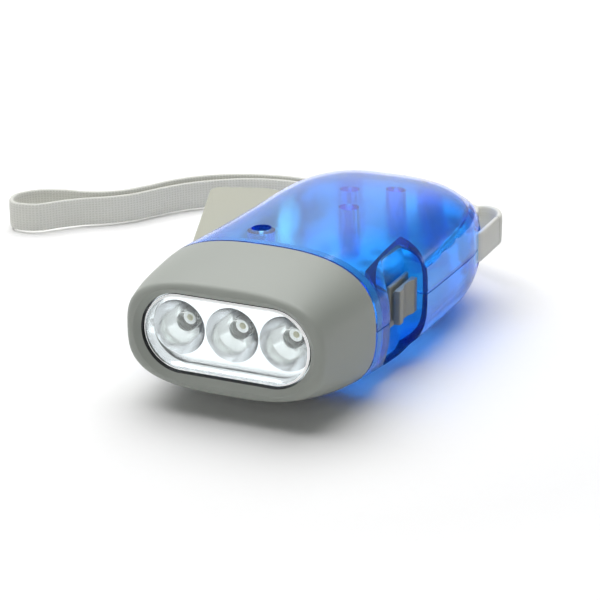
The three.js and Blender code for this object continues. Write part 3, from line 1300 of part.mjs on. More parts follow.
// Thumb pad, stem through the recess floor and a bar whose tip enters the closed lever's end wall
function lockSlide() {
  const face = LOCK_FLOOR_X - SEAT_GAP;
  const padHalf = LOCK_HALF_HEIGHT - SEAT_GAP;
  const padFront = lockPadBack - LOCK_PAD_LENGTH;
  const pad = box(face - LOCK_PAD_THICKNESS, face, padFront, lockPadBack, -padHalf, padHalf);
  const half = LOCK_BAR_HEIGHT / 2;
  const barLeft = lockBarRight - LOCK_BAR_WIDTH;
  const stemFront = lockStemBack - LOCK_STEM_LENGTH;
  const stem = box(face - LOCK_PAD_THICKNESS / 2, lockBarRight, stemFront, lockStemBack, -half, half);
  const bar = box(barLeft, lockBarRight, LOCK_BAR_TIP, lockStemBack, -half, half);
  let slide = join(pad, stem, bar);
  for (let i = 1; i <= LOCK_RIBS; i++) {
    const station = padFront + LOCK_PAD_LENGTH * i / (LOCK_RIBS + 1);
    const groove = box(
      face - LOCK_PAD_THICKNESS - OVERRUN, face - LOCK_PAD_THICKNESS + KNOB_RIB_DEPTH,
      station - KNOB_RIB_WIDTH / 2, station + KNOB_RIB_WIDTH / 2, -OVERRUN, OVERRUN);
    slide = cut(slide, groove);
  }
  return toGeometry(slide);
}

// Screw with a flat head and a cross recess, head at the top unless it is turned over
function screw(place, upright) {
  const sign = upright ? 1 : -1;
  const seat = SCREW_POCKET_SEAT + SEAT_GAP;
  const span = (a, b, radius) => rod(place.x, place.station, Math.min(a, b), Math.max(a, b), radius);
  const head = span(sign * seat, sign * (seat + SCREW_HEAD_HEIGHT), SCREW_HEAD_RADIUS);
  const shank = span(sign * (seat - SCREW_LENGTH), sign * seat, SCREW_RADIUS);
  let solid = join(head, shank);
  const top = seat + SCREW_HEAD_HEIGHT;
  const arm = SCREW_HEAD_RADIUS * CROSS_ARM_SHARE;
  const thin = CROSS_WIDTH / 2;
  const low = sign * (top - CROSS_DEPTH);
  const high = sign * (top + OVERRUN);
  for (const [wide, deep] of [[arm, thin], [thin, arm]]) {
    solid = cut(solid, box(
      place.x - wide, place.x + wide, place.station - deep, place.station + deep,
      Math.min(low, high), Math.max(low, high)));
  }
  return toGeometry(solid);
}

// A wire with a straight stub at each end, square to what it meets
function wire(points, startStub, endStub) {
  const path = points.map(([x, station, z]) => new THREE.Vector3(x, station, z));
  path.splice(1, 0, path[0].clone().add(startStub));
  path.splice(-1, 0, path[path.length - 1].clone().add(endStub));
  return tubeAlong(path, WIRE_COVER_RADIUS, WIRE_COVER_SIDES, WIRE_COVER_STEPS);
}

// From the switch up under the roof of the neck and down to the LED board
function redWire() {
  const start = caseFront() - SEAT_GAP;
  const end = ledBoardFront + LED_BOARD_THICKNESS + SEAT_GAP;
  const span = start - end;
  const x = caseRight - CASE_DEPTH / 2;
  return wire([
    [x, start, 0],
    [x - LED_RADIUS, start - span / 2, TOP_RISE * RED_WIRE_SHARE],
    [LED_PITCH, end, AXIS_LIFT],
  ], new THREE.Vector3(0, -WIRE_STUB, 0), new THREE.Vector3(0, WIRE_STUB, 0));
}

// From the main board, beside the diodes, up to the LED board
function blackWire() {
  const end = ledBoardFront + LED_BOARD_THICKNESS + SEAT_GAP;
  const start = BOARD_FRONT + 2 * DIODE_RADIUS + 2 * WIRE_COVER_RADIUS;
  const low = boardTop + SEAT_GAP;
  return wire([
    [BOARD_LEFT + WIRE_COVER_RADIUS + SEAT_GAP, start, low],
    [-LED_RADIUS, (start + end) / 2, low * BLACK_WIRE_SHARE],
    [-LED_PITCH / 2, end, 0],
  ], new THREE.Vector3(0, 0, WIRE_STUB), new THREE.Vector3(0, WIRE_STUB, 0));
}

// From the back of the main board under the rotor to the stator
function coilWire() {
  const start = BOARD_BACK + SEAT_GAP;
  const end = rotorAxis.station - clawOuter * COIL_WIRE_SHARE;
  const height = BOARD_LOW + BOARD_THICKNESS / 2;
  const x = rotorAxis.x;
  return wire([
    [x, start, height],
    [x, (start + end) / 2, height - WIRE_COVER_RADIUS],
    [x, end, STATOR_LOW - SEAT_GAP],
  ], new THREE.Vector3(0, WIRE_STUB, 0), new THREE.Vector3(0, 0, -WIRE_STUB));
}

function strapSection() {
  const wide = STRAP_WIDTH / 2;
  const thick = STRAP_THICKNESS / 2;
  const soft = thick / 2;
  return new THREE.Shape([
    [-wide, -soft], [-wide + soft, -thick], [wide - soft, -thick], [wide, -soft],
    [wide, soft], [wide - soft, thick], [-wide + soft, thick], [-wide, soft],
  ].map(([upright, across]) => new THREE.Vector2(upright, across)));
}

// Hairpin of webbing round the bar, both plies running straight back out of the shell
function strapWrap() {
  const plan = new THREE.Shape();
  const inner = wrapRadius - STRAP_THICKNESS / 2;
  const outer = wrapRadius + STRAP_THICKNESS / 2;
  const back = STRAP_WRAP_BACK;
  plan.moveTo(STRAP_BAR_X + outer, back);
  plan.lineTo(STRAP_BAR_X + inner, back);
  plan.absarc(STRAP_BAR_X, STRAP_BAR_STATION, inner, 0, -Math.PI, true);
  plan.lineTo(STRAP_BAR_X - inner, back);
  plan.lineTo(STRAP_BAR_X - outer, back);
  plan.absarc(STRAP_BAR_X, STRAP_BAR_STATION, outer, Math.PI, 2 * Math.PI, false);
  const shape = new THREE.Shape(plan.getPoints(WRAP_STEPS));
  return toGeometry(raised(shape, -STRAP_WIDTH / 2, STRAP_WIDTH / 2));
}

function wristStrap() {
  const path = new THREE.CatmullRomCurve3(STRAP_ROUTE.map((point) => new THREE.Vector3(...point)));
  const settings = { extrudePath: path, steps: STRAP_STEPS, bevelEnabled: false };
  return new THREE.ExtrudeGeometry(strapSection(), settings);
}

function groupAt(parent, place) {
  const group = new THREE.Group();
  group.position.set(place.x, place.station, 0);
  parent.add(group);
  return group;
}

function buildHead() {
  addMesh(torch, 'head_bezel', headBezel(), 'head');
  addMesh(torch, 'front_lens', frontLens(), 'clear');
  addMesh(torch, 'reflector', reflector(), 'chrome');
  ['led_left', 'led_middle', 'led_right'].forEach((name, i) => {
    addMesh(torch, name, ledBulb(ledPlaces()[i]), 'led');
  });
  addMesh(torch, 'led_board', ledBoard(), 'board');
}

function buildHousing() {
  const shells = housingShells();
  addMesh(torch, 'upper_shell', shells.upper, 'blue');
  addMesh(torch, 'lower_shell', shells.lower, 'blue');
  addMesh(torch, 'neck_screw', screw(NECK_SCREW, true), 'steel');
  addMesh(torch, 'rear_left_screw', screw(REAR_LEFT_SCREW, false), 'steel');
  addMesh(torch, 'rear_right_screw', screw(REAR_RIGHT_SCREW, false), 'steel');
}

function buildLever() {
  const pivot = groupAt(torch, leverPivot);
  addMesh(pivot, 'lever_pin', leverPin(), 'steel');
  const swung = new THREE.Group();
  swung.rotation.z = THREE.MathUtils.degToRad(LEVER_REST_ANGLE);
  pivot.add(swung);
  addMesh(swung, 'squeeze_lever', squeezeLever(), 'lever');
  addMesh(swung, 'lever_sector', leverSector(), 'nylon');
  addMesh(swung, 'return_spring', returnSpring(), 'steel');
}

function buildGears() {
  const first = groupAt(torch, firstAxis);
  const second = groupAt(torch, secondAxis);
  addMesh(first, 'first_gear', firstGear(), 'nylon');
  const firstPin = rod(0, 0, firstPinionLow - PIN_SOCKET, firstGearHigh + PIN_SOCKET, PIN_RADIUS);
  addMesh(first, 'first_gear_pin', toGeometry(firstPin), 'steel');
  addMesh(second, 'second_gear', secondGear(), 'nylon');
  const headHigh = SECOND_WHEEL_LOW - SEAT_GAP;
  const pin = join(
    rod(0, 0, headHigh - PIN_HEAD_HEIGHT, secondGearHigh + PIN_SOCKET, PIN_RADIUS),
    rod(0, 0, headHigh - PIN_HEAD_HEIGHT, headHigh, PIN_HEAD_RADIUS));
  addMesh(second, 'second_gear_pin', toGeometry(pin), 'steel');
}

function buildGenerator() {
  const axis = groupAt(torch, rotorAxis);
  addMesh(axis, 'rotor_pinion', rotorPinion(), 'nylon');
  addMesh(axis, 'rotor_cup', rotorCup(), 'steel');
  addMesh(axis, 'rotor_magnet', rotorMagnet(), 'magnet');
  const pin = rod(0, 0, STATOR_LOW + SEAT_GAP, rotorPinionHigh + PIN_SOCKET, PIN_RADIUS);
  addMesh(axis, 'rotor_pin', toGeometry(pin), 'steel');
  const upperPlate = statorTop - CLAW_PLATE;
  const lowerFingers = upperPlate - SEAT_GAP;
  const upperFingers = STATOR_LOW + CLAW_PLATE + SEAT_GAP;
  addMesh(axis, 'stator_lower_claw', statorClaw(STATOR_LOW, STATOR_LOW, lowerFingers, 0), 'steel');
  addMesh(axis, 'stator_upper_claw', statorClaw(upperPlate, upperFingers, statorTop, 0.5), 'steel');
  addMesh(axis, 'coil_bobbin', coilBobbin(), 'nylon');
  addMesh(axis, 'coil_winding', coilWinding(), 'copper');
}

function buildElectronics() {
  addMesh(torch, 'main_board', mainBoard(), 'board');
  addMesh(torch, 'storage_cell', storageCell(), 'steel');
  addMesh(torch, 'diode_left', diode(0), 'black');
  addMesh(torch, 'diode_right', diode(1), 'black');
  addMesh(torch, 'capacitor', capacitor(), 'black');
  addMesh(torch, 'wire_red', redWire(), 'red');
  addMesh(torch, 'wire_black', blackWire(), 'black');
  addMesh(torch, 'wire_coil', coilWire(), 'copper');
}

function buildControls() {
  addMesh(torch, 'switch_knob', switchKnob(), 'knob');
  addMesh(torch, 'switch_case', switchCase(), 'black');
  addMesh(torch, 'switch_nub', switchNub(), 'black');
  addMesh(torch, 'lock_slide', lockSlide(), 'knob');
}

function buildStrap() {
  addMesh(torch, 'strap_wrap', strapWrap(), 'strap');
  addMesh(part, 'wrist_strap', wristStrap(), 'strap');
}

buildHead();
buildHousing();
buildLever();
buildGears();
buildGenerator();
buildElectronics();
buildControls();
buildStrap();

export default part;
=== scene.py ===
# Hand-squeezed dynamo torch: clear blue body, grey head with three LEDs, slide switch, lever and strap.
# Metres, +Z up, lens towards -Y. Sizes below are millimetres and turn to metres through MM.
import math

import bmesh
import bpy
from mathutils import Matrix, Vector


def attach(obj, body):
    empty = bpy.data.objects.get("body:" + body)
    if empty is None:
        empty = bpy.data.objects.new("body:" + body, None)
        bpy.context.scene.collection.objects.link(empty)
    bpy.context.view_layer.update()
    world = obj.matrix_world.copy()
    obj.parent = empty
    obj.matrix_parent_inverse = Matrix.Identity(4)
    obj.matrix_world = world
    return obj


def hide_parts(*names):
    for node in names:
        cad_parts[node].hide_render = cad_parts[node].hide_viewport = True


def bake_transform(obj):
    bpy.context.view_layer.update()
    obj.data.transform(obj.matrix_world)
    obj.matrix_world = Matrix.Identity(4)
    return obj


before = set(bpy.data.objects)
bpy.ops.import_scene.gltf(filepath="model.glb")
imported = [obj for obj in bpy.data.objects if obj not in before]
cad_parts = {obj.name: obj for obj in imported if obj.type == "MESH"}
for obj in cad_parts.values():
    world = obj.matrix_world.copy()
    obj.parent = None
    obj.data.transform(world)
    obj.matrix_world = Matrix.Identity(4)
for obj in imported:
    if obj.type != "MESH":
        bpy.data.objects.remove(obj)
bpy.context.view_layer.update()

MM = 0.001
GAP = 0.3              # seat gap between neighbouring pieces

# Housing: stations run back from the ring's front edge, heights count from the parting plane
LAND_STATION = 56      # station of the origin
SPLIT_HEIGHT = 17.8    # height of the parting plane over the table
TORCH_LENGTH = 105
HEAD_LENGTH = 23.1
JOINT_GAP = 0.55       # dark line between the head and the shells
JOINT_BACK = 24        # end of the painted shade on the spigot
NECK_BACK = 28
HALF_WIDTH = 30
TOP_RISE = 17.3
BOTTOM_DROP = 18.2
AXIS_LIFT = 1.6
SHELL_WALL = 1.8
HEAD_WALL = 2.2
SPIGOT_WALL = 1.6
RING_ROUNDING = 1.4

# Side band: the flat right side stands proud of the rounded shoulders over and under it
BAND_STEP = 0.7
BAND_BLEND = 0.9
BAND_RISE = (6.5, 9)   # upper edge, at the recess and at the tail
BAND_DROP = 11
BAND_STATIONS = (42, 51, 96, 103)

# Window and lamp unit
WINDOW_WIDTH = 42.02
WINDOW_HEIGHT = 19.3
FUNNEL_WIDTH = 1.4
FUNNEL_DEPTH = 1.3
RING_LIP = 2.9
PANE_FRONT = 1.5
PANE_BACK = 4.4
PANE_FLANGE = 0.6
PANE_EDGE = 0.5
PANE_BEVEL = 0.45
TRAY_FRONT = 4.7
TRAY_MARGIN = 0.5
BOWL_FRONT = 6.2
BOWL_BACK = 13
BOWL_RADIUS = 6.55
BULB_HOLE = 2.7
LED_PITCH = 13.31
LED_RADIUS = 2.5
FLANGE_RADIUS = 2.9
LED_TIP = 8.1
LED_FOOT = 16.7

# Axes inside, screws, and the lever's window
PIVOT = (-19, 34)
FIRST_AXIS = (5.7487, 58.7487)
SECOND_AXIS = (0.1296, 72.6565)
ROTOR_AXIS = (10.0889, 78.4065)
NECK_SCREW = (-6, 34)
REAR_SCREWS = ((-9, 95), (12.5, 95.8))
SCREW_SEAT = 10
SCREW_RADIUS = 1.25
SCREW_HEAD_RADIUS = 2.2
LEVER_HALF = 10
LEVER_WINDOW_HALF = 10.4
LEVER_WINDOW_FRONT = 28.8
LEVER_WINDOW_BACK = 85
LEVER_LENGTH = 49
REST_ANGLE = 20

# Switch recess on the right, lock recess on the left
RECESS_FRONT = 30
RECESS_BACK = 51
RECESS_HALF = 13.1
RECESS_CORNER = 7
RECESS_FLOOR = 23.4
FLOOR_THICKNESS = 1.6
LOCK_FRONT = 85.2
LOCK_BACK = 97.6
LOCK_HALF = 4.4
LOCK_CORNER = 0.6
LOCK_FLOOR = -19.2
KNOB_FACE = 27
DISH_RADIUS = 7
DISH_DEPTH = 0.9

# Wrist strap on its bar
STRAP_WIDTH = 8
STRAP_THICKNESS = 1.5
BAR = (26, 88.6)
BAR_RADIUS = 2.2
WRAP_RADIUS = 3.25
WRAP_BACK = 100.6
STRAP_WINDOW_HALF = 5

# Station, left, right, rise, drop and lift as shares, and the squareness of the section
OUTLINE = [
    (0, 0.807, 0.807, 0.743, 0.706, 1, 3),
    (0.076, 0.867, 0.853, 0.855, 0.819, 0.62, 2.9),
    (0.152, 0.9, 0.893, 0.948, 0.912, 0.25, 2.8),
    (0.22, 0.927, 0.92, 1, 0.973, 0, 2.7),
    (0.286, 0.877, 0.94, 1, 0.989, 0, 2.9),
    (0.381, 0.8, 0.96, 0.994, 1, 0, 3.2),
    (0.514, 0.753, 0.983, 0.983, 1, 0, 3.4),
    (0.667, 0.743, 1, 0.96, 0.984, 0, 3.4),
    (0.781, 0.733, 1, 0.913, 0.945, 0, 3.3),
    (0.876, 0.683, 0.933, 0.832, 0.846, 0, 3.1),
    (0.943, 0.55, 0.767, 0.717, 0.736, 0, 3),
    (0.986, 0.3, 0.5, 0.555, 0.516, 0, 2.6),
    (1, 0.1, 0.267, 0.324, 0.297, 0, 2.2),
]

# Middle line of the free strap in metres, from the outer ply on the bar round to the inner one
STRAP_ROUTE = [
    (0.02925, 0.0449, 0.0178), (0.02925, 0.0464, 0.0178), (0.0278, 0.05, 0.0177), (0.024, 0.054, 0.017),
    (0.014, 0.0622, 0.0125), (0.001, 0.0715, 0.0075), (-0.014, 0.0805, 0.0044), (-0.031, 0.089, 0.0044),
    (-0.047, 0.093, 0.0044), (-0.062, 0.0905, 0.0044), (-0.073, 0.0845, 0.0044), (-0.08, 0.077, 0.0044),
    (-0.0845, 0.069, 0.0044), (-0.0895, 0.062, 0.0044), (-0.097, 0.0575, 0.0044), (-0.105, 0.056, 0.0044),
    (-0.112, 0.0525, 0.0044), (-0.115, 0.0465, 0.0044), (-0.112, 0.041, 0.0044), (-0.1055, 0.0415, 0.0044),
    (-0.1005, 0.0468, 0.0044), (-0.096, 0.0512, 0.0044), (-0.0905, 0.055, 0.0044), (-0.0848, 0.0605, 0.0044),
    (-0.0803, 0.068, 0.0044), (-0.0755, 0.075, 0.0044), (-0.069, 0.0813, 0.0044), (-0.06, 0.0868, 0.0044),
    (-0.048, 0.0893, 0.0044), (-0.034, 0.086, 0.0044), (-0.018, 0.0775, 0.0046), (-0.004, 0.068, 0.0082),
    (0.008, 0.06, 0.013), (0.0165, 0.0545, 0.017), (0.0212, 0.0508, 0.0178), (0.02275, 0.0472, 0.0178),
    (0.02275, 0.0449, 0.0178),
]


# Places and sections

def at(x, station, height):
    """A place given by station and height over the parting plane, in the row frame."""
    return Vector((x, station - LAND_STATION, height + SPLIT_HEIGHT)) * MM


def outline_row(station):
    """The outline's row at a station, smoothly between the rows of the table."""
    share = min(max(station / TORCH_LENGTH, 0), 1)
    nxt = max(next(i for i, row in enumerate(OUTLINE) if row[0] >= share), 1)
    low, high = OUTLINE[nxt - 1], OUTLINE[nxt]
    before, after = OUTLINE[max(nxt - 2, 0)], OUTLINE[min(nxt + 1, len(OUTLINE) - 1)]
    span = high[0] - low[0]
    t = (share - low[0]) / span
    row = []
    for column in range(len(low)):
        start = (high[column] - before[column]) / (high[0] - before[0]) * span
        end = (after[column] - low[column]) / (after[0] - low[0]) * span
        rise = high[column] - low[column]
        bend = 3 * rise - 2 * start - end
        ease = start + end - 2 * rise
        row.append(low[column] + t * (start + t * (bend + t * ease)))
    return row


def eased(value, low, high):
    """0 below low, 1 above high, and a soft step between."""
    t = min(max((value - low) / (high - low), 0), 1)
    return t * t * (3 - 2 * t)


def shoulder_cut(station, z):
    """How far the shoulders over and under the side band lie behind it."""
    fade_in, full, fade, gone = BAND_STATIONS
    along = eased(station, fade_in, full) * (1 - eased(station, fade, gone))
    rise = BAND_RISE[0] + (BAND_RISE[1] - BAND_RISE[0]) * (station - full) / (fade - full)

    def past(edge, end, height):
        """Whole just past the band's edge, and fading to a half toward the far end."""
        return eased(height, edge, edge + BAND_BLEND) * (1 - eased(height, edge + 1, end) * 0.5)

    return BAND_STEP * along * max(past(rise, TOP_RISE, z), past(BAND_DROP, BOTTOM_DROP, -z))


def section(station, points, inset=0.0, ahead=0.0, band=False):
    """Rounded-square section of the housing at a station, drawn in by an inset."""
    _, left, right, up, down, lift, power = outline_row(station + ahead)
    ring = []
    for i in range(points):
        turn = 2 * math.pi * i / points
        across, upward = math.cos(turn), math.sin(turn)
        half = right * HALF_WIDTH - inset if across >= 0 else -(left * HALF_WIDTH - inset)
        rise = up * TOP_RISE - inset if upward >= 0 else -(down * BOTTOM_DROP - inset)
        x = abs(across) ** (2 / power) * half
        z = abs(upward) ** (2 / power) * rise
        if band and x > 0:
            x -= min(shoulder_cut(station, z), x)
        ring.append(at(x, station, lift * AXIS_LIFT + z))
    return ring


def stadium(grow, station, points=96):
    """The window's outline with round ends, grown all round, centred on the lens axis."""
    radius = WINDOW_HEIGHT / 2 + grow
    reach = (WINDOW_WIDTH - WINDOW_HEIGHT) / 2
    ring = []
    for i in range(points):
        turn = 2 * math.pi * (i + 0.5) / points - math.pi / 2
        side = 1 if i < points / 2 else -1
        ring.append(at(radius * math.cos(turn) + side * reach, station, AXIS_LIFT + radius * math.sin(turn)))
    return ring


def circle(x, station, radius, points=48):
    """Upright circle on the lens axis' height that faces along Y."""
    return [at(x + radius * math.cos(2 * math.pi * i / points), station,
               AXIS_LIFT + radius * math.sin(2 * math.pi * i / points)) for i in range(points)]


# Modelling steps

def only(piece):
    """Make one piece the whole selection."""
    bpy.ops.object.select_all(action="DESELECT")
    piece.select_set(True)
    bpy.context.view_layer.objects.active = piece
    return piece


def lofted(name, rings, cap=True):
    """Skin over rings of equally many points. Sections with four different radii have no primitive."""
    mesh = bpy.data.meshes.new(name)
    shape = bmesh.new()
    rows = [[shape.verts.new(point) for point in ring] for ring in rings]
    size = len(rows[0])
    for a, b in zip(rows, rows[1:]):
        for i in range(size):
            j = (i + 1) % size
            shape.faces.new((a[i], a[j], b[j], b[i]))
    if cap:
        for row in (rows[0], rows[-1]):
            centre = shape.verts.new(sum((v.co for v in row), Vector()) / size)
            for i in range(size):
                shape.faces.new((row[i], row[(i + 1) % size], centre))
    bmesh.ops.recalc_face_normals(shape, faces=shape.faces)
    shape.to_mesh(mesh)
    shape.free()
    piece = bpy.data.objects.new(name, mesh)
    bpy.context.collection.objects.link(piece)
    return only(piece)


def settle(piece):
    """Put the piece's place and size in its mesh."""
    only(piece)
    bpy.ops.object.transform_apply(location=True, rotation=True, scale=True)
    return piece


def block(name, low, high):
    """A cuboid between two corners, to be shaped or to cut with."""
    bpy.ops.object.select_all(action="DESELECT")
    bpy.ops.mesh.primitive_cube_add(size=1, location=(low + high) / 2, scale=high - low)
    piece = bpy.context.active_object
    piece.name = name
    return settle(piece)


def side_block(name, x_span, station, length, height):
    """A cuboid on the housing's side, centred on a station and on the parting plane."""
    low = at(x_span[0], station - length / 2, -height / 2)
    return block(name, low, at(x_span[1], station + length / 2, height / 2))


def post(name, place, low, high, radius, vertices=40):
    """An upright round post between two heights."""
    bpy.ops.object.select_all(action="DESELECT")
    bpy.ops.mesh.primitive_cylinder_add(
        vertices=vertices, radius=radius * MM, depth=(high - low) * MM,
        location=at(*place, (low + high) / 2))
    piece = bpy.context.active_object
    piece.name = name
    return settle(piece)


def finish_with(piece, kind, **settings):
    """Add one modifier and apply it."""
    only(piece)
    modifier = piece.modifiers.new(kind.title(), kind)
    for key, value in settings.items():
        setattr(modifier, key, value)
    bpy.ops.object.modifier_apply(modifier=modifier.name)
    return piece


def rounded(piece, radius, segments=3, pick=None):
    """Round the picked edges of a piece in edit mode, or all of them."""
    only(piece)
    bpy.ops.object.mode_set(mode="EDIT")
    bpy.ops.mesh.select_mode(type="EDGE")
    bpy.ops.mesh.select_all(action="DESELECT")
    bpy.ops.object.mode_set(mode="OBJECT")
    points = piece.data.vertices
    for edge in piece.data.edges:
        a, b = (points[i].co for i in edge.vertices)
        edge.select = pick is None or pick(a, b)
    bpy.ops.object.mode_set(mode="EDIT")
    bpy.ops.mesh.bevel(offset=radius * MM, segments=segments, affect="EDGES")
    bpy.ops.object.mode_set(mode="OBJECT")
    return piece


def merge(piece, tool, how):
    """Join or cut with another solid, which is used up."""
    finish_with(piece, "BOOLEAN", operation=how, object=tool, solver="EXACT")
    bpy.data.objects.remove(tool, do_unlink=True)
    return piece


def cut(piece, *tools):
    for tool in tools:
        merge(piece, tool, "DIFFERENCE")
    return piece


def join(piece, *others):
    for other in others:
        merge(piece, other, "UNION")
    return piece


def smooth(piece, angle=32):
    """Merge the doubled points that cuts leave, and shade the piece smooth up to an angle."""
    only(piece)
    bpy.ops.object.mode_set(mode="EDIT")
    bpy.ops.mesh.select_all(action="SELECT")
    bpy.ops.mesh.remove_doubles(threshold=0.002 * MM)
    bpy.ops.object.mode_set(mode="OBJECT")
    bpy.ops.object.shade_smooth_by_angle(angle=math.radians(angle))
    return piece


def copy_of(piece, name):
    """A copy with its own mesh."""
    other = piece.copy()
    other.data = piece.data.copy()
    other.name = name
    bpy.context.collection.objects.link(other)
    return other


def along_x(a, b):
    return abs(a.y - b.y) < 1e-6 and abs(a.z - b.z) < 1e-6


def at_height(height):
    """Picks the edges that lie at one height over the parting plane."""
    level = (height + SPLIT_HEIGHT) * MM
    return lambda a, b: abs(a.z - level) < 1e-6 and abs(b.z - level) < 1e-6


def stand_for(piece, node, material, body):
    """Give a finished piece its material and its node's place in the frame."""
    piece.data.materials.append(material)
    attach(piece, body)
    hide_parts(node)


# Materials

def linear(code):
    """An sRGB hex colour as linear red, green, blue and alpha."""
    parts = [int(code[i:i + 2], 16) / 255 for i in (1, 3, 5)]
    return [p / 12.92 if p <= 0.04045 else ((p + 0.055) / 1.055) ** 2.4 for p in parts] + [1.0]


def per_metre(spacing):
    """Noise scale for grains a given number of millimetres apart."""
    return 1 / (spacing * MM)


def bands_per_metre(spacing):
    """Wave scale for bands some millimetres apart, as the node repeats 3.18 times a unit."""
    return math.pi / 10 / (spacing * MM)


def add(tree, kind, values=None, feeds=None, **settings):
    """One shader node with its settings, its socket values and its incoming links."""
    node = tree.nodes.new(kind)
    for key, value in settings.items():
        setattr(node, key, value)
    for socket, value in (values or {}).items():
        node.inputs[socket].default_value = value
    for socket, source in (feeds or {}).items():
        tree.links.new(source, node.inputs[socket])
    return node


def new_material(name):
    material = bpy.data.materials.new(name)
    material.use_nodes = True
    material.node_tree.nodes.clear()
    return material, material.node_tree


def moulded(name, code, roughness, grain, depth, drift=0.06):
    """Moulded plastic: an even colour that drifts a little, with the fine spark grain of its mould."""
    material, tree = new_material(name)
    place = add(tree, "ShaderNodeTexCoord").outputs["Object"]
    slow = add(tree, "ShaderNodeTexNoise", {"Scale": per_metre(17), "Detail": 3.0}, {"Vector": place})
    fine = add(tree, "ShaderNodeTexNoise", {"Scale": per_metre(grain), "Detail": 2.0}, {"Vector": place})
    pale, dark = linear(code), linear(code)
    dark[:3] = [c * (1 - 2 * drift) for c in dark[:3]]
    tone = add(tree, "ShaderNodeMix", {6: dark, 7: pale}, {"Factor": slow.outputs["Fac"]}, data_type="RGBA")
    wear = add(tree, "ShaderNodeMapRange",
               {"From Min": 0.3, "From Max": 0.7, "To Min": roughness - 0.05, "To Max": roughness + 0.06},
               {"Value": slow.outputs["Fac"]})
    bump = add(tree, "ShaderNodeBump", {"Strength": 0.5, "Distance": depth * MM},
               {"Height": fine.outputs["Fac"]})
    shader = add(tree, "ShaderNodeBsdfPrincipled", {"IOR": 1.53},
                 {"Base Color": tone.outputs[2], "Roughness": wear.outputs[0], "Normal": bump.outputs[0]})
    add(tree, "ShaderNodeOutputMaterial", feeds={"Surface": shader.outputs[0]})
    return material


def let_light_through(tree, shader, tint):
    """Shadows of a clear piece are tinted light instead of dark, as its thin wall lets most light pass."""
    through = add(tree, "ShaderNodeBsdfTransparent", {"Color": tint})
    path = add(tree, "ShaderNodeLightPath")
    return add(tree, "ShaderNodeMixShader", None,
               {0: path.outputs["Is Shadow Ray"], 1: shader.outputs[0], 2: through.outputs[0]}).outputs[0]


def clear_blue_abs(name, shade):
    """Clear blue ABS, polished in the mould: a thin wall is azure and a thick corner turns navy."""
    material, tree = new_material(name)
    place = add(tree, "ShaderNodeTexCoord").outputs["Object"]
    flow = add(tree, "ShaderNodeTexNoise", {"Scale": per_metre(12), "Detail": 2.0}, {"Vector": place})
    haze = add(tree, "ShaderNodeMapRange",
               {"From Min": 0.3, "From Max": 0.7, "To Min": 0.1, "To Max": 0.17},
               {"Value": flow.outputs["Fac"]})
    bump = add(tree, "ShaderNodeBump", {"Strength": 0.1, "Distance": 0.05 * MM},
               {"Height": flow.outputs["Fac"]})
    shader = add(tree, "ShaderNodeBsdfPrincipled",
                 {"Base Color": linear("#b0e8ff"), "Transmission Weight": 0.94, "IOR": 1.35},
                 {"Roughness": haze.outputs[0], "Normal": bump.outputs[0]})
    surface = let_light_through(tree, shader, linear(shade))
    dye = add(tree, "ShaderNodeVolumeAbsorption", {"Color": (0.2, 0.8, 0.985, 1.0), "Density": 900.0})
    add(tree, "ShaderNodeOutputMaterial", feeds={"Surface": surface, "Volume": dye.outputs[0]})
    return material


def clear_cast(name, code, roughness, ior, clear=1.0, painted_glow=0.0):
    """Clear polished plastic or resin with faint waves of its flow. A ground edge can be given a painted
    glow.
    """
    material, tree = new_material(name)
    place = add(tree, "ShaderNodeTexCoord").outputs["Object"]
    flow = add(tree, "ShaderNodeTexNoise", {"Scale": per_metre(8), "Detail": 1.0}, {"Vector": place})
    bump = add(tree, "ShaderNodeBump", {"Strength": 0.06, "Distance": 0.05 * MM},
               {"Height": flow.outputs["Fac"]})
    shader = add(tree, "ShaderNodeBsdfPrincipled",
                 {"Base Color": linear(code), "Transmission Weight": clear, "IOR": ior,
                  "Roughness": roughness, "Emission Color": linear(code), "Emission Strength": painted_glow},
                 {"Normal": bump.outputs[0]})
    surface = let_light_through(tree, shader, linear(code))
    add(tree, "ShaderNodeOutputMaterial", feeds={"Surface": surface})
    return material


def metal(name, code, roughness, ripple, grain, stretch=(1, 1, 1)):
    """Bare or plated metal, with the fine ripple that rolling, drawing or plating leaves."""
    material, tree = new_material(name)
    place = add(tree, "ShaderNodeTexCoord").outputs["Object"]
    drawn = add(tree, "ShaderNodeMapping", {"Scale": stretch}, {"Vector": place})
    fine = add(tree, "ShaderNodeTexNoise", {"Scale": per_metre(grain), "Detail": 3.0},
               {"Vector": drawn.outputs[0]})
    worn = add(tree, "ShaderNodeMapRange",
               {"From Min": 0.3, "From Max": 0.7, "To Min": roughness * 0.7, "To Max": roughness * 1.4},
               {"Value": fine.outputs["Fac"]})
    bump = add(tree, "ShaderNodeBump", {"Strength": 0.4, "Distance": ripple * MM},
               {"Height": fine.outputs["Fac"]})
    shader = add(tree, "ShaderNodeBsdfPrincipled", {"Base Color": linear(code), "Metallic": 1.0},
                 {"Roughness": worn.outputs[0], "Normal": bump.outputs[0]})
    add(tree, "ShaderNodeOutputMaterial", feeds={"Surface": shader.outputs[0]})
    return material


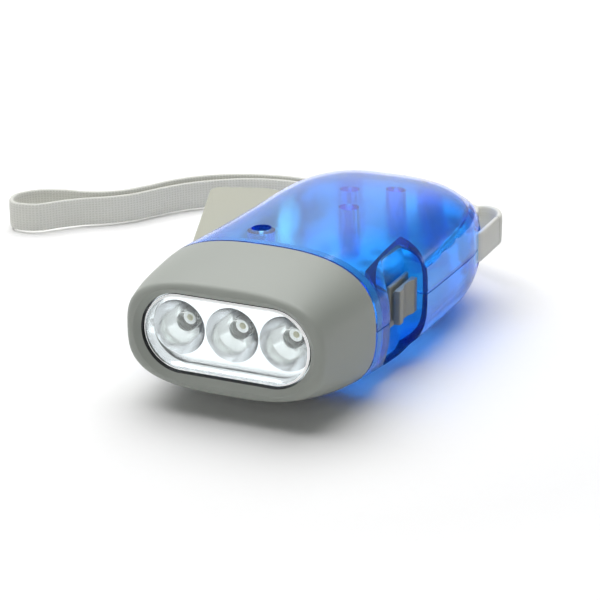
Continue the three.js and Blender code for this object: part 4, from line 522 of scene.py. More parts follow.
def wound_copper():
    """Enamelled copper wire wound in layers: fine orange rings, drawn 0.5 mm apart to show, paler on each
    turn's crest as a painted highlight and darker between turns as painted shade.
    """
    material, tree = new_material("enamelled_copper")
    place = add(tree, "ShaderNodeTexCoord").outputs["Object"]
    turns = add(tree, "ShaderNodeTexWave",
                {"Scale": bands_per_metre(0.5), "Distortion": 0.4, "Detail": 1.0}, {"Vector": place},
                wave_type="BANDS", bands_direction="Z")
    bump = add(tree, "ShaderNodeBump", {"Strength": 0.8, "Distance": 0.15 * MM},
               {"Height": turns.outputs["Fac"]})
    # Painted highlight on the turns' crests and painted shade between them
    tone = add(tree, "ShaderNodeMix", {6: linear("#6e2f12"), 7: linear("#c46a30")},
               {"Factor": turns.outputs["Fac"]}, data_type="RGBA")
    shader = add(tree, "ShaderNodeBsdfPrincipled", {"Roughness": 0.3, "Metallic": 0.7},
                 {"Base Color": tone.outputs[2], "Normal": bump.outputs[0]})
    add(tree, "ShaderNodeOutputMaterial", feeds={"Surface": shader.outputs[0]})
    return material


def woven_webbing():
    """Flat woven nylon webbing: ribs of weft 0.9 mm apart across lines of warp 0.7 mm apart."""
    material, tree = new_material("woven_nylon_webbing")
    cloth = add(tree, "ShaderNodeUVMap", uv_map="weave").outputs[0]
    weft, warp = (
        add(tree, "ShaderNodeTexWave",
            {"Scale": bands_per_metre(spacing), "Distortion": 0.5, "Detail": 2.0, "Detail Scale": 2.0},
            {"Vector": cloth}, wave_type="BANDS", bands_direction=way)
        for spacing, way in ((0.9, "X"), (0.7, "Y")))
    threads = add(tree, "ShaderNodeMath", None, {0: weft.outputs["Fac"], 1: warp.outputs["Fac"]},
                  operation="MAXIMUM")
    fuzz = add(tree, "ShaderNodeTexNoise", {"Scale": per_metre(0.4), "Detail": 4.0}, {"Vector": cloth})
    height = add(tree, "ShaderNodeMath", None, {0: fuzz.outputs["Fac"], 1: threads.outputs[0]},
                 operation="MULTIPLY")
    bump = add(tree, "ShaderNodeBump", {"Strength": 0.7, "Distance": 0.12 * MM},
               {"Height": height.outputs[0]})
    # Paler on the raised threads and darker in the dips between them as painted shade, mottled at random by
    # the fuzz
    tone = add(tree, "ShaderNodeMix", {6: linear("#d9dad1"), 7: linear("#f8f8f3")},
               {"Factor": height.outputs[0]}, data_type="RGBA")
    shader = add(tree, "ShaderNodeBsdfPrincipled", {"Roughness": 0.85, "Sheen Weight": 0.25},
                 {"Base Color": tone.outputs[2], "Normal": bump.outputs[0]})
    add(tree, "ShaderNodeOutputMaterial", feeds={"Surface": shader.outputs[0]})
    return material


def laminate(name, lacquer, under_track):
    """Glass-cloth circuit board under lacquer, with faint weave and paler copper tracks 2.5 mm apart."""
    material, tree = new_material(name)
    place = add(tree, "ShaderNodeTexCoord").outputs["Object"]
    tracks = add(tree, "ShaderNodeTexBrick",
                 {"Scale": per_metre(1), "Mortar Size": 0.43, "Brick Width": 8.57, "Row Height": 2.5,
                  "Color1": linear(lacquer), "Color2": linear(lacquer), "Mortar": linear(under_track)},
                 {"Vector": place})
    cloth = add(tree, "ShaderNodeTexNoise", {"Scale": per_metre(0.7), "Detail": 2.0}, {"Vector": place})
    bump = add(tree, "ShaderNodeBump", {"Strength": 0.3, "Distance": 0.03 * MM},
               {"Height": cloth.outputs["Fac"]})
    shader = add(tree, "ShaderNodeBsdfPrincipled", {"Roughness": 0.35, "Coat Weight": 0.4},
                 {"Base Color": tracks.outputs["Color"], "Normal": bump.outputs[0]})
    add(tree, "ShaderNodeOutputMaterial", feeds={"Surface": shader.outputs[0]})
    return material


# One plastic in two copies: the underside lets less light through to shadows, a painted darker shadow on the
# table, while the gears keep the upper shell's light
UPPER_BLUE = clear_blue_abs("clear_blue_abs", "#e6ebf8")
LOWER_BLUE_DARKER_SHADOW = clear_blue_abs("clear_blue_abs_underside_painted_shadow", "#bac2d0")
# ABS from a spark-eroded mould: even and dull, with a soft wide sheen
HEAD_GREY = moulded("grey_abs_head", "#a1a69f", 0.46, 0.35, 0.03)
LEVER_GREY = moulded("pale_grey_abs_lever", "#b0b1a1", 0.45, 0.35, 0.03)
KNOB_GREY = moulded("grey_abs_knob", "#96968d", 0.42, 0.3, 0.03)
BLACK_ABS = moulded("black_abs", "#1c1c1e", 0.45, 0.3, 0.02)
# Painted shade: nearly black, with no clear highlight, for the head's shaded window wall and joint
SHADE_BLACK = moulded("black_painted_shade", "#0e0e10", 0.5, 0.5, 0.01)
# Gears and bobbin from smooth moulds: milky white with a soft gloss
GEAR_ACETAL = moulded("natural_acetal", "#f1eee4", 0.35, 0.5, 0.01, 0.03)
BONE_BOBBIN = moulded("natural_nylon_bobbin", "#e6e0cf", 0.4, 0.5, 0.01, 0.03)
# Extruded covers and a shrunk sleeve: smooth, with a long narrow highlight
RED_COVER = moulded("red_pvc_cover", "#c9261c", 0.35, 0.5, 0.01)
BLACK_COVER = moulded("black_pvc_cover", "#202022", 0.35, 0.5, 0.01)
CAPACITOR_SLEEVE = moulded("capacitor_sleeve", "#23407a", 0.3, 0.5, 0.01)
# Fired and pressed powders: flat colour with a dull grain
MAGNET_GREY = moulded("sintered_ferrite", "#3c3c40", 0.55, 0.15, 0.04)
PHOSPHOR = moulded("pale_phosphor", "#d3cfae", 0.6, 0.1, 0.01)
# Polished acrylic shows only its edges, a ground edge is frosted white with a painted glow, and cast epoxy
# bends what is in it
PANE_ACRYLIC = clear_cast("clear_acrylic", "#f6fafb", 0.02, 1.49)
GLOWING_GROUND_EDGE = clear_cast("ground_acrylic_edge_painted_glow", "#fdfefe", 0.5, 1.49, 0.15, 0.45)
BULB_EPOXY = clear_cast("cast_epoxy", "#f8f9f5", 0.03, 1.53)
# Plated bowls mirror softly. Zinc and nickel break a highlight, the drawn cup has faint rings round it,
# and tin is satin white
PLATED_BOWLS = metal("vacuum_plated_plastic", "#f3f4f5", 0.18, 0.02, 2.5)
STEEL = metal("zinc_plated_steel", "#c9ccd0", 0.25, 0.01, 0.3)
CUP_STEEL = metal("deep_drawn_steel", "#bdbfc2", 0.3, 0.02, 0.3, (1, 1, 6))
SPRING_STEEL = metal("spring_steel_wire", "#a9abb0", 0.22, 0.01, 0.2)
CELL_NICKEL = metal("nickel_plated_can", "#c7c3b8", 0.22, 0.01, 0.4)
LEAD_FRAME = metal("tinned_lead_frame", "#e8e9ea", 0.4, 0.01, 0.2)
COPPER = wound_copper()
BOARD_GREEN = laminate("green_laminate", "#1f5f2f", "#4b9a4a")
BOARD_WHITE = laminate("white_laminate", "#e9ebe8", "#d5d9cf")
WEBBING = woven_webbing()


# Camera at the photograph's viewing angle

def make_camera():
    data = bpy.data.cameras.new("photo_camera")
    camera = bpy.data.objects.new("photo_camera", data)
    bpy.context.collection.objects.link(camera)
    right = Vector((0.91373641, 0.40629566, -0.00309958))
    up = Vector((-0.1417651, 0.32595255, 0.93469652))
    back = Vector((0.38077345, -0.85362684, 0.35543326))
    turn = Matrix((right, up, back)).transposed().to_4x4()
    camera.matrix_world = Matrix.Translation(Vector((0.20485, -0.47265, 0.20603))) @ turn
    data.sensor_width = 36
    data.lens = 134.83
    data.clip_start = 0.02
    data.clip_end = 50
    bpy.context.scene.camera = camera


make_camera()


# Wrist strap

def strap_line(points, per_span):
    """Centripetal curve through the route's points."""
    ends = [points[0] * 2 - points[1], *points, points[-1] * 2 - points[-2]]
    line = []
    for i in range(1, len(ends) - 2):
        p = ends[i - 1:i + 3]
        t = [0.0]
        for a, b in zip(p, p[1:]):
            t.append(t[-1] + (b - a).length ** 0.5)
        for k in range(per_span):
            u = t[1] + (t[2] - t[1]) * k / per_span
            a = [p[j] * ((t[j + 1] - u) / (t[j + 1] - t[j])) + p[j + 1] * ((u - t[j]) / (t[j + 1] - t[j]))
                 for j in range(3)]
            b = [a[j] * ((t[j + 2] - u) / (t[j + 2] - t[j])) + a[j + 1] * ((u - t[j]) / (t[j + 2] - t[j]))
                 for j in range(2)]
            line.append(b[0] * ((t[2] - u) / (t[2] - t[1])) + b[1] * ((u - t[1]) / (t[2] - t[1])))
    line.append(points[-1].copy())
    return line


def ribbon(name, line):
    """Webbing on edge along a line: soft selvedges, a slight crown and a weave that follows it."""
    wide, thick = STRAP_WIDTH / 2 * MM, STRAP_THICKNESS / 2 * MM
    one_side = [(-1, 0), (-0.97, -0.55), (-0.86, -0.9), (-0.5, -1), (0, -1), (0.5, -1), (0.86, -0.9),
                (0.97, -0.55)]
    profile = one_side + [(-a, -b) for a, b in one_side]
    rings, lengths, run = [], [], 0.0
    for i, point in enumerate(line):
        tangent = (line[min(i + 1, len(line) - 1)] - line[max(i - 1, 0)]).normalized()
        upright = (Vector((0, 0, 1)) - tangent * tangent.z).normalized()
        aside = tangent.cross(upright)
        rings.append([point + upright * (wide * a) + aside * (thick * b) for a, b in profile])
        if i:
            run += (point - line[i - 1]).length
        lengths.append(run)
    piece = lofted(name, rings)
    weave = piece.data.uv_layers.new(name="weave")
    size = len(profile)
    for face in piece.data.polygons:
        columns = {v % size for v in face.vertices if v < size * len(rings)}
        wraps = {0, size - 1} <= columns
        for loop in face.loop_indices:
            v = piece.data.loops[loop].vertex_index
            if v >= size * len(rings):
                weave.data[loop].uv = (0.0, 0.0)
                continue
            side = -wide if wraps and v % size == 0 else profile[v % size][0] * wide
            weave.data[loop].uv = (lengths[v // size], side)
    return smooth(piece, 50)


strap_path = strap_line([Vector(point) for point in STRAP_ROUTE], 10)
strap = ribbon("wrist_strap_webbing", strap_path)
stand_for(strap, "wrist_strap", WEBBING, "case")


def strap_round_bar():
    """The loop of webbing round the upright bar, both plies leaving to the rear."""
    bar_x, bar_station = BAR
    runs = [WRAP_BACK - (WRAP_BACK - bar_station) * i / 6 for i in range(6)]
    line = [at(bar_x + WRAP_RADIUS, station, 0) for station in runs]
    for i in range(25):
        turn = -math.pi * i / 24
        line.append(at(bar_x + WRAP_RADIUS * math.cos(turn), bar_station + WRAP_RADIUS * math.sin(turn), 0))
    line += [at(bar_x - WRAP_RADIUS, station, 0) for station in reversed(runs)]
    return ribbon("strap_loop", line)


stand_for(strap_round_bar(), "strap_wrap", WEBBING, "case")


# Head and lamp unit

def head_skin():
    """Grey head: rounded ring, funnel round the window, hollow behind and the spigot into the shells."""
    rings = []
    for i in range(7):
        turn = math.pi / 2 * i / 6
        rings.append(section(RING_ROUNDING * (1 - math.cos(turn)), 96, RING_ROUNDING * (1 - math.sin(turn))))
    for i in range(1, 25):
        rings.append(section(RING_ROUNDING + (HEAD_LENGTH - RING_ROUNDING) * i / 24, 96))
    head = lofted("grey_head", rings)
    ahead = 6          # the window's cutters begin this far before the ring
    spigot_front, spigot_inset = HEAD_LENGTH - 3, SHELL_WALL + 0.25
    spigot = [section(s, 64, spigot_inset) for s in (spigot_front, 22, JOINT_BACK, 26, NECK_BACK)]
    hollow = [section(s, 64, HEAD_WALL) for s in (RING_LIP, 6, 9, 12, 15, 18, spigot_front)]
    rear = [section(s, 64, spigot_inset + SPIGOT_WALL)
            for s in (spigot_front - HEAD_WALL, 20, 22, 24, 26, 28, 34)]
    window = [stadium(0, -ahead), stadium(0, 5.1)]
    funnel = [stadium(FUNNEL_WIDTH * (1 + ahead / FUNNEL_DEPTH), -ahead), stadium(0, FUNNEL_DEPTH)]
    join(head, lofted("spigot", spigot))
    for name, tool in (("hollow", hollow), ("rear", rear), ("window", window), ("funnel", funnel)):
        cut(head, lofted(name, tool))
    return smooth(head, 28)


def paint_head_shade(head):
    """Black painted shade: on the window's inner wall under the ring's lip, and round the spigot in the
    joint with the shells.
    """
    head.data.materials.append(SHADE_BLACK)
    straight, radius = (WINDOW_WIDTH - WINDOW_HEIGHT) / 2, WINDOW_HEIGHT / 2
    for face in head.data.polygons:
        spot = face.center / MM
        station = spot.y + LAND_STATION
        across = max(abs(spot.x) - straight, 0)
        reach = math.hypot(across, spot.z - SPLIT_HEIGHT - AXIS_LIFT)
        in_window = reach < radius + 0.05 and FUNNEL_DEPTH < station < RING_LIP
        outward = abs(face.normal.y) < 0.5 and face.normal.dot(spot) > 0
        in_joint = outward and HEAD_LENGTH < station < JOINT_BACK
        if in_window or in_joint:
            face.material_index = 1


grey_head = head_skin()
stand_for(grey_head, "head_bezel", HEAD_GREY, "case")
# Black painted shade on the window's inner wall and round the spigot in the joint
paint_head_shade(grey_head)


def window_pane():
    """Clear pane with a ground bevel, on a thin flange behind the ring's lip."""
    lip, bevel_back = RING_LIP + GAP, PANE_FRONT + PANE_BEVEL
    rings = [stadium(-PANE_EDGE - PANE_BEVEL, PANE_FRONT), stadium(-PANE_EDGE, bevel_back),
             stadium(-PANE_EDGE, lip), stadium(PANE_FLANGE, lip), stadium(PANE_FLANGE, PANE_BACK)]
    pane = smooth(lofted("window_pane", rings), 25)
    stand_for(pane, "front_lens", PANE_ACRYLIC, "case")
    # The ground bevel is frosted white and glows with painted light
    pane.data.materials.append(GLOWING_GROUND_EDGE)
    front, back = at(0, PANE_FRONT, 0).y, at(0, bevel_back, 0).y
    for face in pane.data.polygons:
        if front + 1e-6 < face.center.y < back:
            face.material_index = 1


window_pane()


def bowl_rings(x, steps=14):
    """Rings of one parabolic bowl, from before its rim back through the hole for the bulb."""
    rings = [circle(x, BOWL_FRONT - 0.3, BOWL_RADIUS + 0.1)]
    for i in range(1, steps + 1):
        radius = BOWL_RADIUS + (BULB_HOLE - BOWL_RADIUS) * i / steps
        share = (BOWL_RADIUS ** 2 - radius ** 2) / (BOWL_RADIUS ** 2 - BULB_HOLE ** 2)
        rings.append(circle(x, BOWL_FRONT + (BOWL_BACK - BOWL_FRONT) * share, radius))
    rings.append(circle(x, BOWL_BACK + 4, BULB_HOLE))
    return rings


def plated_tray():
    """Plated tray with three parabolic bowls, each open to its bulb."""
    plate = [stadium(TRAY_MARGIN, TRAY_FRONT), stadium(TRAY_MARGIN, TRAY_FRONT + 2.2)]
    tray = lofted("plated_reflector", plate)
    places = (-LED_PITCH, 0, LED_PITCH)
    for x in places:
        join(tray, lofted("cup", [circle(x, BOWL_FRONT + 0.3, BOWL_RADIUS + 1), circle(x, 9.6, BOWL_RADIUS),
                                  circle(x, BOWL_BACK, BULB_HOLE + 1)]))
    for x in (-LED_PITCH / 2, LED_PITCH / 2):
        join(tray, lofted("stay", [circle(x, BOWL_FRONT + 0.4, 1.2, 18), circle(x, LED_FOOT, 1.2, 18)]))
    cut(tray, lofted("tub", [stadium(0.4, TRAY_FRONT - 0.7), stadium(-0.5, 5.6), stadium(-1.2, BOWL_FRONT)]))
    for x in places:
        cut(tray, lofted("bowl", bowl_rings(x)))
    return smooth(tray, 30)


stand_for(plated_tray(), "reflector", PLATED_BOWLS, "case")


def bulb(name, x):
    """Round LED: domed resin with a foot flange, round a two-part lead frame and its phosphor cup."""
    rings = [circle(x, LED_TIP + 0.02, 0.25, 32)]
    for i in range(1, 9):
        turn = math.pi / 2 * i / 8
        station = LED_TIP + LED_RADIUS - LED_RADIUS * math.cos(turn)
        rings.append(circle(x, station, LED_RADIUS * math.sin(turn), 32))
    rings.append(circle(x, LED_FOOT - 1, LED_RADIUS, 32))
    rings += [circle(x, station, FLANGE_RADIUS, 32) for station in (LED_FOOT - 1, LED_FOOT)]
    resin = lofted(name, rings)
    anvil = block("anvil", at(x - 1.5, 12.4, AXIS_LIFT - 0.25), at(x - 0.1, 16.4, AXIS_LIFT + 0.25))
    dish = lofted("dish", [circle(x - 0.15, 11.6, 0.85, 20), circle(x - 0.15, 12.6, 0.6, 20)])
    lead = block("lead", at(x + 0.75, 12.0, AXIS_LIFT - 0.2), at(x + 1.2, 16.4, AXIS_LIFT + 0.2))
    chip = lofted("chip", [circle(x - 0.15, 11.5, 0.35, 16), circle(x - 0.15, 11.62, 0.45, 16)])
    resin.data.materials.append(BULB_EPOXY)
    chip.data.materials.append(PHOSPHOR)
    for frame_piece in (anvil, dish, lead):
        frame_piece.data.materials.append(LEAD_FRAME)
    only(resin)
    for inner in (anvil, dish, lead, chip):
        inner.select_set(True)
    bpy.ops.object.join()
    return smooth(resin, 30)


bulbs = {"left": bulb("bulb_left", -LED_PITCH)}
for side, shift in (("middle", LED_PITCH), ("right", 2 * LED_PITCH)):
    bulbs[side] = copy_of(bulbs["left"], f"bulb_{side}")
    bulbs[side].data.transform(Matrix.Translation((shift * MM, 0, 0)))
for side, led in bulbs.items():
    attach(led, "case")
    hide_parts(f"led_{side}")


# Blue shells

def recess_tool(low, high, half, radius, x_span, grow=0.0):
    """Rounded prism along X that cuts or fills a recess in the side."""
    tool = block("recess", at(x_span[0], low - grow, -half - grow), at(x_span[1], high + grow, half + grow))
    return rounded(tool, radius, 8, along_x)


def switch_recess(floor, grow=0.0):
    return recess_tool(RECESS_FRONT, RECESS_BACK, RECESS_HALF, RECESS_CORNER, (floor, 36), grow)


def lock_recess(floor, grow=0.0):
    return recess_tool(LOCK_FRONT, LOCK_BACK, LOCK_HALF, LOCK_CORNER, (-36, floor), grow)


def inner_walls():
    """Bosses, seats and recess floors that stay solid inside the shells."""
    roof, floor = TOP_RISE, -BOTTOM_DROP
    # Place, lower end, upper end and radius
    posts = [
        (PIVOT, LEVER_WINDOW_HALF, roof, 2.8), (PIVOT, floor, -LEVER_WINDOW_HALF, 2.8),
        (FIRST_AXIS, 4, roof, 2.5), (FIRST_AXIS, floor, -6.2, 2.5), (SECOND_AXIS, 4.4, roof, 2.5),
        (ROTOR_AXIS, 2.5, roof, 2.5), (ROTOR_AXIS, floor, -5.4, 2.5), (ROTOR_AXIS, floor, -11.9, 5),
        (BAR, -STRAP_WINDOW_HALF - 3, STRAP_WINDOW_HALF + 3, BAR_RADIUS),
    ]
    posts += [(place, floor, roof, 3.3) for place in (NECK_SCREW, *REAR_SCREWS)]
    posts += [((x, station), floor, -14.8, 1.2) for x in (0.5, 13) for station in (30.8, 51)]
    walls = [post("boss", *each) for each in posts]
    walls.append(switch_recess(RECESS_FLOOR - FLOOR_THICKNESS, SHELL_WALL))
    walls.append(lock_recess(LOCK_FLOOR + FLOOR_THICKNESS, SHELL_WALL))
    return walls


def hollow_body():
    """The housing behind the head as one loft, hollowed round its inner walls."""
    outer, hollow = [], []
    front = HEAD_LENGTH + JOINT_GAP
    hollow_front = front - SHELL_WALL
    for i in range(6):
        outer.append(section(front + (NECK_BACK - front) * i / 6, 160, band=True))
        hollow.append(section(hollow_front + (NECK_BACK - hollow_front) * i / 6, 64, SHELL_WALL))
    for i in range(57):
        share = math.sin(math.pi / 2 * i / 56)
        outer.append(section(NECK_BACK + (TORCH_LENGTH - NECK_BACK) * share, 160, band=True))
        station = NECK_BACK + (TORCH_LENGTH - SHELL_WALL - NECK_BACK) * share
        hollow.append(section(station, 64, SHELL_WALL, SHELL_WALL * share))
    body = lofted("body", outer)
    inside = lofted("inside", hollow)
    cut(inside, *inner_walls())
    return cut(body, inside)


def open_windows(body):
    """Recesses, the lever's window and the slots under the knob and the lock."""
    cut(body, switch_recess(RECESS_FLOOR), lock_recess(LOCK_FLOOR))
    cut(body, block("window", at(-36, LEVER_WINDOW_FRONT, -LEVER_WINDOW_HALF),
                    at(-14.2, LEVER_WINDOW_BACK, LEVER_WINDOW_HALF)))
    cut(body, block("slot", at(20.9, 38.5, -2.1), at(RECESS_FLOOR + GAP, 47.5, 2.1)))
    cut(body, block("slot", at(LOCK_FLOOR - GAP, 87.8, -1.8), at(-14.9, 95.2, 1.8)))
    return body


def bore_holes(body):
    """Pin sockets, and the screws' holes with their head pockets."""
    reach = LEVER_WINDOW_HALF + 2.5
    # Axis, lower end, upper end and radius
    sockets = ((PIVOT, -reach, reach, 1.35), (FIRST_AXIS, -11.2, 9, 1.1), (SECOND_AXIS, 4.1, 9.4, 1.1),
               (ROTOR_AXIS, -11.6, 7.5, 1.1))
    for axis, low, high, radius in sockets:
        cut(body, post("socket", axis, low, high, radius, 24))
    for place, sign in ((NECK_SCREW, 1), (REAR_SCREWS[0], -1), (REAR_SCREWS[1], -1)):
        pocket = sorted((sign * SCREW_SEAT, sign * 25))
        hole = sorted((sign * -7.3, sign * 10.3))
        cut(body, post("pocket", place, *pocket, SCREW_HEAD_RADIUS + 0.25))
        cut(body, post("hole", place, *hole, SCREW_RADIUS + 0.2, 24))
    return body


def clear_strap_bar(body):
    """Room for the webbing round its bar, and the slots where both plies leave."""
    half = STRAP_WINDOW_HALF
    around = post("around", BAR, -half, half, WRAP_RADIUS + STRAP_THICKNESS / 2 + GAP, 64)
    cut(around, post("bar", BAR, -half - 1, half + 1, BAR_RADIUS))
    cut(body, around)
    for ply in (BAR[0] - WRAP_RADIUS, BAR[0] + WRAP_RADIUS):
        slot = STRAP_THICKNESS / 2 + GAP
        cut(body, block("slot", at(ply - slot, BAR[1], -half), at(ply + slot, 112, half)))
    return body


def shell_pair():
    """Both shells with every opening, with a land to lie on, and parted 0.3 mm apart."""
    body = clear_strap_bar(bore_holes(open_windows(hollow_body())))
    cut(body, block("ground", at(-60, -10, -60), at(60, 120, -SPLIT_HEIGHT)))
    upper, lower = copy_of(body, "upper_blue_shell"), copy_of(body, "lower_blue_shell")
    bpy.data.objects.remove(body, do_unlink=True)
    cut(upper, block("below", at(-60, -10, -60), at(60, 120, GAP / 2)))
    cut(lower, block("above", at(-60, -10, -GAP / 2), at(60, 120, 60)))
    return smooth(upper, 30), smooth(lower, 30)


for shell, node, blue in zip(shell_pair(), ("upper_shell", "lower_shell"), (UPPER_BLUE, LOWER_BLUE_DARKER_SHADOW)):
    stand_for(shell, node, blue, "case")


# Screws

def cross_screw(name, place):
    """Pan-head screw, upright: eased head with a cross recess, on a plain shank."""
    x, station = place
    seat = SCREW_SEAT + GAP
    top = seat + 1.8
    screw = rounded(post(name, place, seat, top, SCREW_HEAD_RADIUS, 48), 0.5, 4, at_height(top))
    join(screw, post("shank", place, seat - 17, seat + 0.2, SCREW_RADIUS, 48))
    for wide, deep in ((1.47, 0.4), (0.4, 1.47)):
        low, high = at(x - wide, station - deep, top - 1), at(x + wide, station + deep, top + 4)
        cut(screw, block("slot", low, high))
    return smooth(screw, 30)


def turned_over(screw, name, place):
    """A copy of the neck screw at a rear place, with its head below."""
    other = copy_of(screw, name)
    turn = Matrix.Rotation(math.pi, 4, "X")
    other.data.transform(Matrix.Translation(at(*place, 0)) @ turn @ Matrix.Translation(-at(*NECK_SCREW, 0)))
    return other


screws = {"neck": cross_screw("neck_cross_screw", NECK_SCREW)}
for side, spot in zip(("rear_left", "rear_right"), REAR_SCREWS):
    screws[side] = turned_over(screws["neck"], f"{side}_cross_screw", spot)
for side, screw in screws.items():
    stand_for(screw, f"{side}_screw", STEEL, "case")


# Switch knob and lock

def thumb_knob():
    """Slide knob: flange, shadow groove and a cap dished between its two lands."""
    middle, half = 44.9, 8.5
    knob = rounded(side_block("switch_knob_cap", (23.7, 24.7), 44.7, 12, 10.4), 0.35, 2)
    neck = side_block("neck", (23.9, 26.4), middle, 9.4, 6.9)
    cap = rounded(side_block("cap", (25.3, KNOB_FACE), middle, 11, half), 0.3, 3)
    stem = side_block("stem", (20.9, 24.4), 45, 4.4, 3.6)
    join(knob, neck, cap, stem)
    cut(knob, side_block("pocket", (20.6, 22.6), 45, 2.4, 2))
    cut(knob, post("dish", (KNOB_FACE - DISH_DEPTH + DISH_RADIUS, middle), -half, half, DISH_RADIUS, 160))
    return smooth(knob, 30)


stand_for(thumb_knob(), "switch_knob", KNOB_GREY, "switch")


def lock_pad():
    """Lock slide: ribbed thumb pad, its stem through the recess floor and the bar that holds the lever."""
    face = LOCK_FLOOR - GAP
    middle, stem_back, bar_right = 93.6, 94.9, -14.9
    slide = rounded(side_block("lock_thumb_pad", (face - 2, face), middle, 7.4, 8.2), 0.4, 3)
    for i in (-1, 0, 1):
        cut(slide, side_block("groove", (face - 6, face - 1.5), middle + i * 1.85, 0.6, 12))
    stem = side_block("stem", (face - 1, bar_right), stem_back - 1.3, 2.6, 3)
    bar = rounded(side_block("bar", (bar_right - 2.4, bar_right), 89.9, 10, 3), 0.2, 2)
    join(slide, stem, bar)
    return smooth(slide, 30)


stand_for(lock_pad(), "lock_slide", KNOB_GREY, "lock")


# Hand lever

def lever_plan():
    """Outline of the closed lever seen from above, from its pivot: hub, waist, end and finger face."""
    hub, reach, face, corner = 4.8, 14.5, 5.4, 3
    turns = [math.pi + math.pi * i / 16 for i in range(17)]
    plan = [(hub * math.cos(turn), hub * math.sin(turn)) for turn in turns]
    plan += [(6.5, 12), (reach, LEVER_LENGTH - 3), (reach - 6, LEVER_LENGTH)]
    for i in range(9):
        turn = math.pi / 2 + math.pi / 2 * i / 8
        plan.append((corner - face + corner * math.cos(turn),
                     LEVER_LENGTH - corner + corner * math.sin(turn)))
    return plan + [(-face, 8)]


def raised_plan(name, plan, half):
    return lofted(name, [[Vector((x, y, z)) * MM for x, y in plan] for z in (-half, half)])


def hand_lever():
    """Moulded channel lever, drawn closed from its pivot and swung out to rest."""
    lever = raised_plan("hand_lever", lever_plan(), LEVER_HALF)

    def grip_edge(a, b):
        """Edges round the finger face and the end, on the top and the bottom of the channel."""
        flat = abs(a.z - b.z) < 1e-6 and abs(abs(a.z) - LEVER_HALF * MM) < 1e-6
        rim = all(p.xy.length > 1e-5 and (p.x < 2.5 * MM or p.y > 45 * MM) for p in (a, b))
        centre = any(abs(p.x) < 14 * MM and 10 * MM < p.y < 44 * MM for p in (a, b))
        return flat and rim and not centre

    rounded(lever, 1.2, 4, grip_edge)
    shoulder, inside, back = -3.65, -3.8, LEVER_LENGTH - 1.6
    cavity = [(shoulder, -10.8), (20.5, -10.8), (20.5, back), (inside, back), (inside, 8), (shoulder, 0)]
    cut(lever, raised_plan("cavity", cavity, LEVER_HALF - 1.5))
    bpy.ops.object.select_all(action="DESELECT")
    bpy.ops.mesh.primitive_cylinder_add(vertices=32, radius=1.35 * MM, depth=32 * MM)
    cut(lever, bpy.context.active_object)
    cut(lever, block("lock_hole", Vector((1.2, LEVER_LENGTH - 3.2, -2)) * MM, Vector((4.6, 55, 2)) * MM))
    swing = Matrix.Rotation(math.radians(REST_ANGLE), 4, "Z")
    lever.data.transform(Matrix.Translation(at(*PIVOT, 0)) @ swing)
    return smooth(lever, 30)


stand_for(hand_lever(), "squeeze_lever", LEVER_GREY, "lever")


# Return spring

def winding_spring():
    """Return spring: a copy of the node's coils, shaded smooth in spring steel, put in the node's place."""
    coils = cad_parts["return_spring"].data.copy()
    spring = bpy.data.objects.new("wound_return_spring", coils)
    bpy.context.collection.objects.link(spring)
    spring.data.materials.clear()
    spring.data.materials.append(SPRING_STEEL)
    smooth(spring, 40)
    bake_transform(spring)
    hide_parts("return_spring")


winding_spring()


# Finishes of the carried-over nodes

NODE_FINISH = {
    "led_board": BOARD_WHITE, "main_board": BOARD_GREEN,
    "lever_pin": STEEL, "first_gear_pin": STEEL, "second_gear_pin": STEEL, "rotor_pin": STEEL,
    "lever_sector": GEAR_ACETAL, "first_gear": GEAR_ACETAL, "second_gear": GEAR_ACETAL,
    "rotor_pinion": GEAR_ACETAL,
    "rotor_cup": CUP_STEEL, "rotor_magnet": MAGNET_GREY,
    "stator_lower_claw": CUP_STEEL, "stator_upper_claw": CUP_STEEL,
    "coil_bobbin": BONE_BOBBIN, "coil_winding": COPPER,
    "storage_cell": CELL_NICKEL, "diode_left": BLACK_ABS, "diode_right": BLACK_ABS,
    "capacitor": CAPACITOR_SLEEVE, "wire_red": RED_COVER, "wire_black": BLACK_COVER, "wire_coil": COPPER,
    "switch_case": BLACK_ABS, "switch_nub": BLACK_ABS,
}
for node, material in NODE_FINISH.items():
    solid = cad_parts[node]
    solid.data.materials.clear()
    solid.data.materials.append(material)


# Floor and light

def strength_by_ray(tree, given, seen, through):
    """Strength of light as it is given off, as it is seen or mirrored, and as it shines through plastic."""
    path = add(tree, "ShaderNodeLightPath")
    direct = add(tree, "ShaderNodeMath", None,
                 {0: path.outputs["Is Camera Ray"], 1: path.outputs["Is Glossy Ray"]}, operation="MAXIMUM")
    plain = add(tree, "ShaderNodeMapRange", {"To Min": given, "To Max": seen}, {"Value": direct.outputs[0]})
    return add(tree, "ShaderNodeMix", {3: through},
               {0: path.outputs["Is Transmission Ray"], 2: plain.outputs[0]}, data_type="FLOAT").outputs[0]


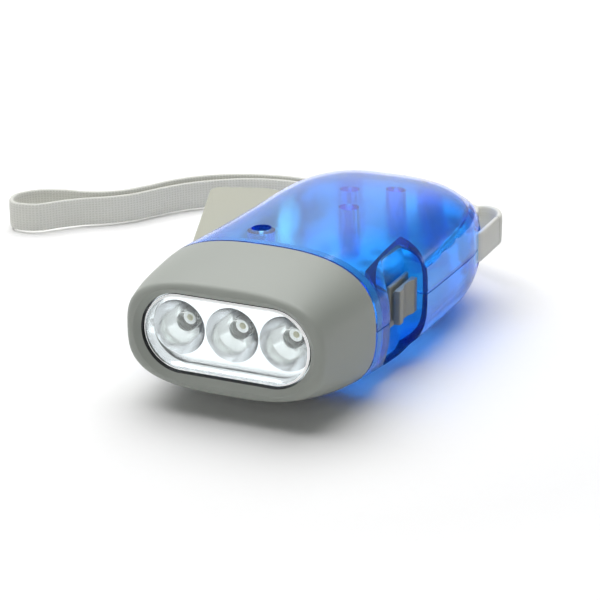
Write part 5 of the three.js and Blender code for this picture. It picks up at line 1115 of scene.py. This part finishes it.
def pale_floor():
    """White paper under the torch, just below the table's height so that they don't touch."""
    bpy.ops.object.select_all(action="DESELECT")
    bpy.ops.mesh.primitive_plane_add(size=12, location=(0, 0, -0.0002))
    floor = bpy.context.active_object
    floor.name = "pale_floor"
    material, tree = new_material("white_sweep_paper")
    place = add(tree, "ShaderNodeTexCoord").outputs["Object"]
    grain = add(tree, "ShaderNodeTexNoise", {"Scale": per_metre(2.5)}, {"Vector": place})
    tone = add(tree, "ShaderNodeMix", {6: linear("#fafafa"), 7: linear("#fdfdfd")},
               {"Factor": grain.outputs["Fac"]}, data_type="RGBA")
    shader = add(tree, "ShaderNodeBsdfPrincipled", {"Roughness": 0.9, "Specular IOR Level": 0.1},
                 {"Base Color": tone.outputs[2]})
    # The lamps don't reach the far paper, which is to look white up to the horizon all the same
    far = add(tree, "ShaderNodeVectorMath", None, {0: place}, operation="LENGTH").outputs["Value"]
    haze = add(tree, "ShaderNodeMapRange", {"From Min": 0.1, "From Max": 0.7}, {"Value": far}).outputs[0]
    strength = add(tree, "ShaderNodeMath", None,
                   {0: strength_by_ray(tree, 0, 1, 1), 1: haze, 2: strength_by_ray(tree, 0, 0.03, 0.6)},
                   operation="MULTIPLY_ADD").outputs[0]
    glow = add(tree, "ShaderNodeEmission", {"Color": (1, 1, 1, 1)}, {"Strength": strength})
    lit = add(tree, "ShaderNodeAddShader", None, {0: shader.outputs[0], 1: glow.outputs[0]})
    add(tree, "ShaderNodeOutputMaterial", feeds={"Surface": lit.outputs[0]})
    floor.data.materials.append(material)


def soft_lamp(name, place, aim, size, power):
    data = bpy.data.lights.new(name, "AREA")
    data.shape = "RECTANGLE"
    data.size, data.size_y = size
    data.energy = power
    lamp = bpy.data.objects.new(name, data)
    lamp.location = place
    lamp.rotation_mode = "QUATERNION"
    lamp.rotation_quaternion = (Vector(aim) - Vector(place)).to_track_quat("-Z", "Y")
    bpy.context.collection.objects.link(lamp)


def white_world():
    """White all round. Mirrors also show a dim corner at the back right, so shoulders keep their blue."""
    world = bpy.data.worlds.new("white_studio")
    world.use_nodes = True
    tree = world.node_tree
    tree.nodes.clear()
    way = add(tree, "ShaderNodeTexCoord").outputs["Generated"]
    cornerward = add(tree, "ShaderNodeVectorMath", {1: (0.42, 0.76, 0.5)}, {0: way},
                     operation="DOT_PRODUCT").outputs["Value"]
    corner = add(tree, "ShaderNodeMapRange",
                 {"From Min": 0.72, "From Max": 0.95, "To Min": 1.0, "To Max": 0.12},
                 {"Value": cornerward}).outputs[0]
    mirrored = add(tree, "ShaderNodeLightPath").outputs["Is Glossy Ray"]
    share = add(tree, "ShaderNodeMix", {2: 1.0}, {0: mirrored, 3: corner}, data_type="FLOAT").outputs[0]
    strength = add(tree, "ShaderNodeMath", None, {0: strength_by_ray(tree, 0.03, 1, 1), 1: share},
                   operation="MULTIPLY")
    sky = add(tree, "ShaderNodeBackground", {"Color": (1, 1, 1, 1)}, {"Strength": strength.outputs[0]})
    add(tree, "ShaderNodeOutputWorld", feeds={"Surface": sky.outputs[0]})
    bpy.context.scene.world = world


pale_floor()
soft_lamp("top_softbox", (-0.2, 0.2, 1.0), (0, 0, 0), (1.35, 1.35), 17)
soft_lamp("front_softbox", (0.1, -1.1, 0.35), (0, 0, 0.02), (0.6, 0.6), 0.9)
white_world()

bpy.context.scene.view_settings.view_transform = "Standard"
